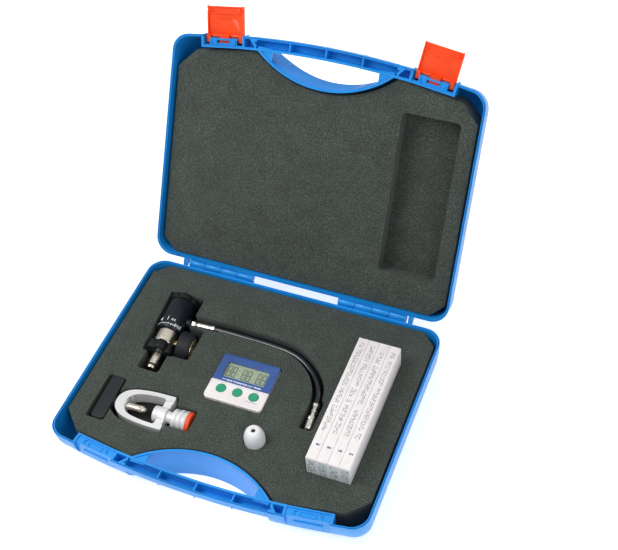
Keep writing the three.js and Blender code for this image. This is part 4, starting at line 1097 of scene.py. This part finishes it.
def yoke_outside():
    upper = [(-36.5, 0), *bezier((-36.5, 0), (-36.5, 9), (-31, 14.5), (-20, 17.4)),
             *bezier((-20, 17.4), (-8, 20.2), (6, 20.6), (21, 20.4))]
    upper += [(21.8, 19.9), (22, 19.2), (22, 15.4), (20, 12)]
    return upper + [(x, -y) for x, y in reversed(upper[1:])]


def yoke_inside():
    upper = [(-26.5, 0), *bezier((-26.5, 0), (-26.5, 7.5), (-22, 11.2), (-15, 13.2)),
             *bezier((-15, 13.2), (-7, 15.2), (2, 15.8), (11, 16)), (12, 15.4)]
    return upper + [(x, -y) for x, y in reversed(upper[1:])]


def make_yoke():
    half = 7.2
    yoke = build("yoke_loop", prism(yoke_outside()[::-1], -half, half), YOKE, PALE)
    cuts = [("DIFFERENCE", prism(yoke_inside()[::-1], -9, 9)),
            ("DIFFERENCE", box(10, 24, -14.6, 14.6, half - 2.4, 9)),
            ("UNION", turned([(-33, 6.4), (-32.6, 6.6), (-25.8, 6.6), (-25.4, 6.4)], 40)),
            ("UNION", turned([(11, 8.8), (19.6, 8.8), (20, 8.4)], 48)),
            ("DIFFERENCE", turned([(-45, 4.5), (-20, 4.5)], 32)),
            ("DIFFERENCE", turned([(5, 7.9), (24, 7.9)], 40))]
    combine(yoke, cuts, YOKE)
    place(bevel(yoke, 1.7, 4, 40, 50), "yoke_adapter", "pale_alloy", "yoke_frame")

    screw = build("clamp_screw_threaded", turned(
        [(-41.7, 4), *ringed(-38, -17, 4, 1.5, 0.25), (-16.6, 3.9), (-8, 3.9), (-7.2, 3.4), (-6, 2.7),
         (-4.9, 2.5), (-4.2, 1.7), (-3.8, 0.9)], 48), YOKE, WARM)
    place(screw, "clamp_screw", "steel", "yoke_screw")

    grip_outline = rounded(-7.4, 7.4, -26, 26, 4.2, 8)
    waist = [(x * (1 - 0.16 * math.cos(math.pi * y / 52) ** 2), y) for x, y in grip_outline]
    handle = build("clamp_t_handle", prism(waist, -6.6, 6.6), shifted(YOKE, -46.9), HANDLE)
    combine(handle, [("UNION", turned([(5.9, 6.2), (8.9, 6.0)], 40)),
                     ("DIFFERENCE", turned([(4.9, 4.3), (10, 4.3)], 32))], shifted(YOKE, -46.9))
    place(bevel(handle, 1.6, 4, 40, 50), "clamp_handle", "handle_dark", "yoke_handle")

    outlet = build("outlet_ribbed_body", turned(
        [(5.2, 5), (5.5, 7.6), (5.9, 8.3), (6.4, 8.6), (10.8, 8.6), (11.3, 8.3), (11.7, 7.5), (20.4, 7.5),
         (20.8, 6.4), (22, 6.2), (25.6, 6.2), (26.6, 7.4), (27.2, 9.8), (28, 10.6), (30.6, 10.8),
         (31.4, 10.6), (32, 9.8), (32.3, 9.6), (33.2, 9.6), (33.7, 10.4), (34.2, 11.2), (37.2, 11.3),
         (37.8, 10.9), (38.2, 10.1), (39.3, 10), (39.7, 10.8), (40.3, 11.3), (42.6, 11.2), (43, 10.9)],
        72), YOKE, PALE)
    groove = lathe([(4, 2.5), (4, 4.3), (7, 4.3), (7, 2.5)], 48, loop=True)
    combine(outlet, [("DIFFERENCE", groove)], YOKE)
    place(outlet, "yoke_adapter", "pale_alloy", "outlet_body")
    cap_profile = [(43.3, 10.8), (43.6, 11.2), (46, 11.2), (46.8, 11.0), (47.3, 10.6), (47.4, 10.2)]
    cap = build("outlet_dust_cap", turned(
        cap_profile, 72, lambda x, a: 1 - 0.012 * (0.5 + 0.5 * math.cos(24 * a))), YOKE, CAP)
    combine(cap, [("DIFFERENCE", turned([(46.6, 6.6), (50, 7.4)], 48))], YOKE)
    place(cap, "outlet_cap", "cap_orange", "dust_cap")


# ---------- timer ----------
TIMER_KEYS = (-17.6, 0.6, 18.8)
SEGMENTS = {"a": (0, 1, 1, 1), "b": (1, 0.5, 1, 1), "c": (1, 0, 1, 0.5), "d": (0, 0, 1, 0),
            "e": (0, 0, 0, 0.5), "f": (0, 0.5, 0, 1), "g": (0, 0.5, 1, 0.5)}
DIGITS = {"8": "abcdefg"}


def digit(symbol, x, y, width, height, z0, z1, line):
    """One seven-segment numeral made of thin bars."""
    bars = []
    for name in DIGITS[symbol]:
        ax, ay, bx, by = SEGMENTS[name]
        x0, x1 = x + ax * width - line / 2, x + bx * width + line / 2
        y0, y1 = y + ay * height - line / 2, y + by * height + line / 2
        trim = line * 0.62
        if ax == bx:
            bars.append(box(x0, x1, y0 + trim, y1 - trim, z0, z1))
        else:
            bars.append(box(x0 + trim, x1 - trim, y0, y1, z0, z1))
    return bars


def dashes(x0, x1, y, height, z0, z1, rng, gap=0.5):
    """A row of small printed strokes of uneven length."""
    shapes, x = [], x0
    while x < x1:
        width = rng.uniform(0.5, 1.5)
        lift = rng.choice((0, 0, 0.35)) * height
        shapes.append(box(x, min(x + width, x1), y + lift, y + height, z0, z1))
        x += width + gap * rng.choice((0.7, 1, 1, 2.2))
    return shapes


def make_timer_back(base, w, d, top, deck):
    back = build("timer_back_shell", prism(rounded(-w, w, -d, d, 4), top - 13, deck - 0.3), base, WHITE)
    hollow = prism(rounded(-w + 1.6, w - 1.6, -d + 1.6, d - 1.6, 2.6), top - 11.4, deck + 1)
    combine(back, [("DIFFERENCE", hollow)], base)
    place(bevel(back, 0.5, 3, 50), "timer", "timer_white", "timer_back")


def make_timer_face(base, w, d, top, deck):
    plate = rounded(-w, w, -d, d, 4)
    face = build("timer_face_plate", prism(plate, deck, top), base, WHITE)
    cuts = [("DIFFERENCE", box(-w - 1, w + 1, -5.5, d + 1, -20, 5)),
            ("DIFFERENCE", box(-w - 1, w + 1, -d + 3.2, -d + 3.7, top - 0.45, 5))]
    cuts += [("DIFFERENCE", moved(upright(5.5, deck - 1, top + 1), Matrix.Translation((x, -14.2, 0))))
             for x in TIMER_KEYS]
    combine(face, cuts, base)
    place(bevel(face, 0.35, 3, 50), "timer", "timer_white", "timer_face")
    bezel = build("timer_bezel_frame", prism(plate, deck, top), base, BEZEL)
    window = [(-23.2, 0.6), (23.2, 0.6), (23.2, 19.6), (-23.2, 19.6)]
    combine(bezel, [("DIFFERENCE", box(-w - 1, w + 1, -d - 1, -5.2, -20, 5)),
                    ("DIFFERENCE", prism(window, -20, 5))], base)
    place(bevel(bezel, 0.4, 3, 50), "timer", "timer_blue", "timer_bezel")


def make_numerals(base, deck):
    numerals = []
    for i, symbol in enumerate("88:88 88"):
        if symbol in DIGITS:
            numerals += digit(symbol, -21 + i * 5.55, 3.4, 3.6, 12.6, deck - 0.32, deck - 0.22, 1)
    for y in (7.4, 12.2):
        numerals.append(box(-9.1, -8.1, y, y + 1.1, deck - 0.32, deck - 0.22))
    ink = build("display_numerals", numerals, base, INK)
    place(ink, "timer", "lcd_grey")


def make_timer_print(base, top):
    rng = random.Random(11)
    words = dashes(-21, 22, -3.7, 1.7, top - 0.1, top + 0.05, rng)
    caption = build("bezel_caption_marks", words, base, WHITE_PRINT)
    place(caption, "timer", "timer_white")
    labels = []
    for x in TIMER_KEYS:
        labels += dashes(x - 2, x + 2.4, -7.6, 0.5, top - 0.1, top + 0.04, rng)
    labels += dashes(12, 25, -21.6, 0.8, top - 0.1, top + 0.04, rng)
    prints = build("face_caption_marks", labels, base, GREY_PRINT)
    place(prints, "timer", "timer_white")


def make_timer_keys(base, top, deck):
    for number, x in enumerate(TIMER_KEYS, 1):
        dome = lathe([(deck - 3.2, 0), (deck - 3.2, 1.6), (deck - 0.6, 1.6), (deck - 0.6, 5.1),
                      (top + 0.1, 5.1), (top + 0.45, 4.9), (top + 0.6, 4.5), (top + 0.5, 3.6),
                      (top + 0.45, 1.8), (top + 0.45, 0)], 48)
        button = build(f"timer_key_{number}", turned_about(dome, "Y", -90), shifted(base, x, -14.2), GREEN)
        place(button, f"button_{number}", "button_green", f"timer_button_{number}")


def make_timer():
    centre = node_centre("timer_back")
    base = Matrix.Translation((centre.x, centre.y, CASE.translation.z))
    half_width, half_depth, top, deck = 32, 28.75, -1.5, -3.7
    make_timer_back(base, half_width, half_depth, top, deck)
    make_timer_face(base, half_width, half_depth, top, deck)
    make_numerals(base, deck)
    make_timer_print(base, top)
    make_timer_keys(base, top, deck)


# ---------- tube opener ----------
def make_opener():
    centre = node_centre("opener_cup")
    base = Matrix.Translation((centre.x, centre.y, CASE.translation.z))
    bottom, top, radius, low = -13.5, 14, 10.7, -1
    dome = []
    for i in range(19):
        a = 1.32 * i / 18
        dome.append((low + (top - low) * math.sin(a) / math.sin(1.32),
                     2.7 + (radius - 2.7) * math.cos(a) ** 0.82))
    loop = [(bottom + 3, 8.4), (bottom + 3, radius - 0.3), (bottom + 3.3, radius), *dome, (top, 2.6),
            (top - 0.4, 2.3), (top - 2.4, 2.3), (top - 3.4, 5.6), (2, 8.4)]
    cup = build("opener_dome", turned_about(lathe(loop, 96, loop=True), "Y", -90), base, OPENER)
    place(cup, "tube_opener", "opener_white", "opener_cup")
    tray = turned([(bottom, 9.2), (bottom + 0.3, 9.8), (bottom + 0.8, radius - 0.2),
                   (bottom + 2.3, radius - 0.2), (bottom + 2.6, radius - 0.5), (bottom + 2.6, 8),
                   (bottom + 5.6, 8), (bottom + 6, 7.6)], 72)
    piece = build("opener_tip_tray", turned_about(tray, "Y", -90), base, OPENER)
    place(piece, "tube_opener", "opener_white", "opener_tray")


# ---------- cartons ----------
def glyph(x, y, width, height, z0, z1, rng, line):
    """A meaningless printed sign: a few bars out of a box grid, its height along -x."""
    bars = []
    for name in rng.sample("abcdefg", rng.choice((3, 4, 4))):
        ax, ay, bx, by = SEGMENTS[name]
        x0, x1 = x + (1 - by) * height, x + (1 - ay) * height
        y0, y1 = y + ax * width, y + bx * width
        bars.append(box(x0 - line / 2, x1 + line / 2, y0 - line / 2, y1 + line / 2, z0, z1))
    return bars


def make_carton_box(number, span):
    x0, x1, y0, y1, z0, z1 = span
    card = 0.7
    carton = build(f"carton_{number}_box", box(x0, x1, y0, y1, z0, z1), CASE, CARD)
    middle = (z0 + z1) / 2
    thumb_notch = turned_about(upright(3.4, -2, 2, 32), "X", 90)
    steps = [
        ("DIFFERENCE", box(x0 + card, x1 - card, y0 + card, y1 - card, z0 + card, z1 - card)),
        ("DIFFERENCE", moved(thumb_notch, Matrix.Translation(((x0 + x1) / 2, y1, middle)))),
        ("DIFFERENCE", box(x0 + 0.5, x1 - 0.5, y0 - 1, y0 + 0.25, z1 - 1.15, z1 - 0.85)),
        ("DIFFERENCE", box(x0 + 0.5, x1 - 0.5, y0 - 1, y0 + 0.25, z0 + 0.85, z0 + 1.15)),
        ("DIFFERENCE", box(x1 - 0.25, x1 + 1, y0 + 4, y1 - 4, z0 + 6, z0 + 6.3)),
    ]
    combine(carton, steps, CASE)
    place(bevel(carton, 0.3, 2, 50), f"carton_{number}", "card_white", f"tube_carton_{number}")


def print_carton_top(number, span, rng):
    x0, x1, y0, y1, z0, z1 = span
    printed = []
    y = y0 + 34 + rng.uniform(0, 2)
    while y < y1 - 8:
        if rng.random() > 0.1:
            printed += glyph(x0 + 3.8, y, 2.2, 3.8, z1 - 0.1, z1 + 0.04, rng, 0.55)
        y += 3.5
    text = build(f"carton_{number}_print", printed, CASE, GREY_PRINT)
    place(text, f"carton_{number}", "card_white")

    marks = dashes(x0 + 4.4, x0 + 8.2, y0 + 16, 2.2, z1 - 0.1, z1 + 0.04, rng, 0.3)
    mark = build(f"carton_{number}_stamp", marks, CASE, BLUE_PRINT)
    place(mark, f"carton_{number}", "card_white")


def print_carton_end(number, span, rng):
    x0, x1, y0, y1, z0, z1 = span
    sticker = box(x0 + 0.6, x1 - 0.6, y0 - 0.06, y0 + 0.1, z0 + 3, z1 - 2.2)
    label = build(f"carton_{number}_label", sticker, CASE, PALE_LABEL)
    place(label, f"carton_{number}", "card_white")
    blocks = []
    z = z1 - 4.6
    while z > z0 + 5:
        x = x0 + 1.8
        while x < x1 - 2.4:
            width = rng.uniform(0.5, 1.3)
            if rng.random() > 0.35:
                blocks.append(box(x, x + width, y0 - 0.1, y0 + 0.05, z - rng.uniform(0.5, 1.5), z))
            x += width + rng.uniform(0.3, 0.8)
        z -= 2.3 if rng.random() > 0.3 else 3.8
    codes = build(f"carton_{number}_codes", blocks, CASE, DARK_PRINT)
    place(codes, f"carton_{number}", "card_white")


def make_carton(number):
    span = node_span(f"tube_carton_{number}")
    rng = random.Random(30 + number)
    make_carton_box(number, span)
    print_carton_top(number, span, rng)
    print_carton_end(number, span, rng)


# ---------- light and floor ----------
def add_area(name, place_m, size, power, color=(1, 1, 1)):
    data = bpy.data.lights.new(name, "AREA")
    data.shape = "RECTANGLE"
    data.size, data.size_y = size
    data.energy = power
    data.color = color
    light = bpy.data.objects.new(name, data)
    bpy.context.scene.collection.objects.link(light)
    light.location = place_m
    light.rotation_mode = "QUATERNION"
    light.rotation_quaternion = (Vector((0, 0.05, 0.05)) - Vector(place_m)).to_track_quat("-Z", "Y")


def make_studio():
    scene = bpy.context.scene
    scene.view_settings.view_transform = "Standard"
    world = bpy.data.worlds.new("studio")
    scene.world = world
    world.use_nodes = True
    nodes, links = world.node_tree.nodes, world.node_tree.links
    split = nodes.new("ShaderNodeSeparateXYZ")
    links.new(nodes.new("ShaderNodeTexCoord").outputs["Generated"], split.inputs["Vector"])
    sky = nodes.new("ShaderNodeValToRGB")
    bands = ((0.0, 0.7), (0.12, 0.45), (0.4, 0.35), (0.62, 0.8), (1.0, 1.0))
    while len(sky.color_ramp.elements) < len(bands):
        sky.color_ramp.elements.new(0.5)
    for element, (height, shade) in zip(sky.color_ramp.elements, bands):
        element.position = height
        element.color = (shade, shade, shade, 1)
    links.new(split.outputs["Z"], sky.inputs["Fac"])
    links.new(sky.outputs["Color"], nodes["Background"].inputs["Color"])
    nodes["Background"].inputs["Strength"].default_value = 0.72
    size = 6
    bpy.ops.mesh.primitive_plane_add(size=size, location=(0, 0, -0.0006))
    floor = bpy.context.object
    floor.name = "floor"
    glow = {"Emission Color": (1, 1, 1, 1), "Emission Strength": 0.55}
    shader = Shader("floor", (0.8, 0.8, 0.8), 0.8, **glow)
    shader.shades(shader.noise(3, 2), 0.99, 1.01)
    floor.data.materials.append(shader.material)
    add_area("key", (-0.9, -0.4, 1.5), (1.1, 0.8), 17)
    add_area("fill", (1.2, -0.9, 1.2), (1.2, 1.0), 7.5)
    add_area("back", (0.2, 1.6, 1.3), (1.6, 0.6), 6)


make_union()
make_case()
make_latch("left", "left_latch")
make_latch("right", "right_latch")
make_foam()
make_knob()
make_bonnet()
make_lower_body()
make_hand_wheel()
make_nipple()
make_gauge()
make_yoke()
make_timer()
make_opener()
for carton_number in range(1, 5):
    make_carton(carton_number)

finish_nodes(STEEL, "hinge_pin_left", "hinge_pin_right", "latch_pin_left", "latch_pin_right",
             "adjusting_screw", "range_spring", "timer_cell", "opener_blade")
finish_nodes(BRASS, "piston")
finish_nodes(RUBBER, "outlet_seal")
finish_nodes(WHITE, "gauge_dial")
finish_nodes(BLACK, "gauge_needle")
finish_nodes(LENS, "gauge_lens")
finish_nodes(LCD, "timer_display")
finish_nodes(BOARD, "timer_board")
finish_nodes(TUBES, *[f"detector_tubes_{i}" for i in range(1, 5)])

make_studio()
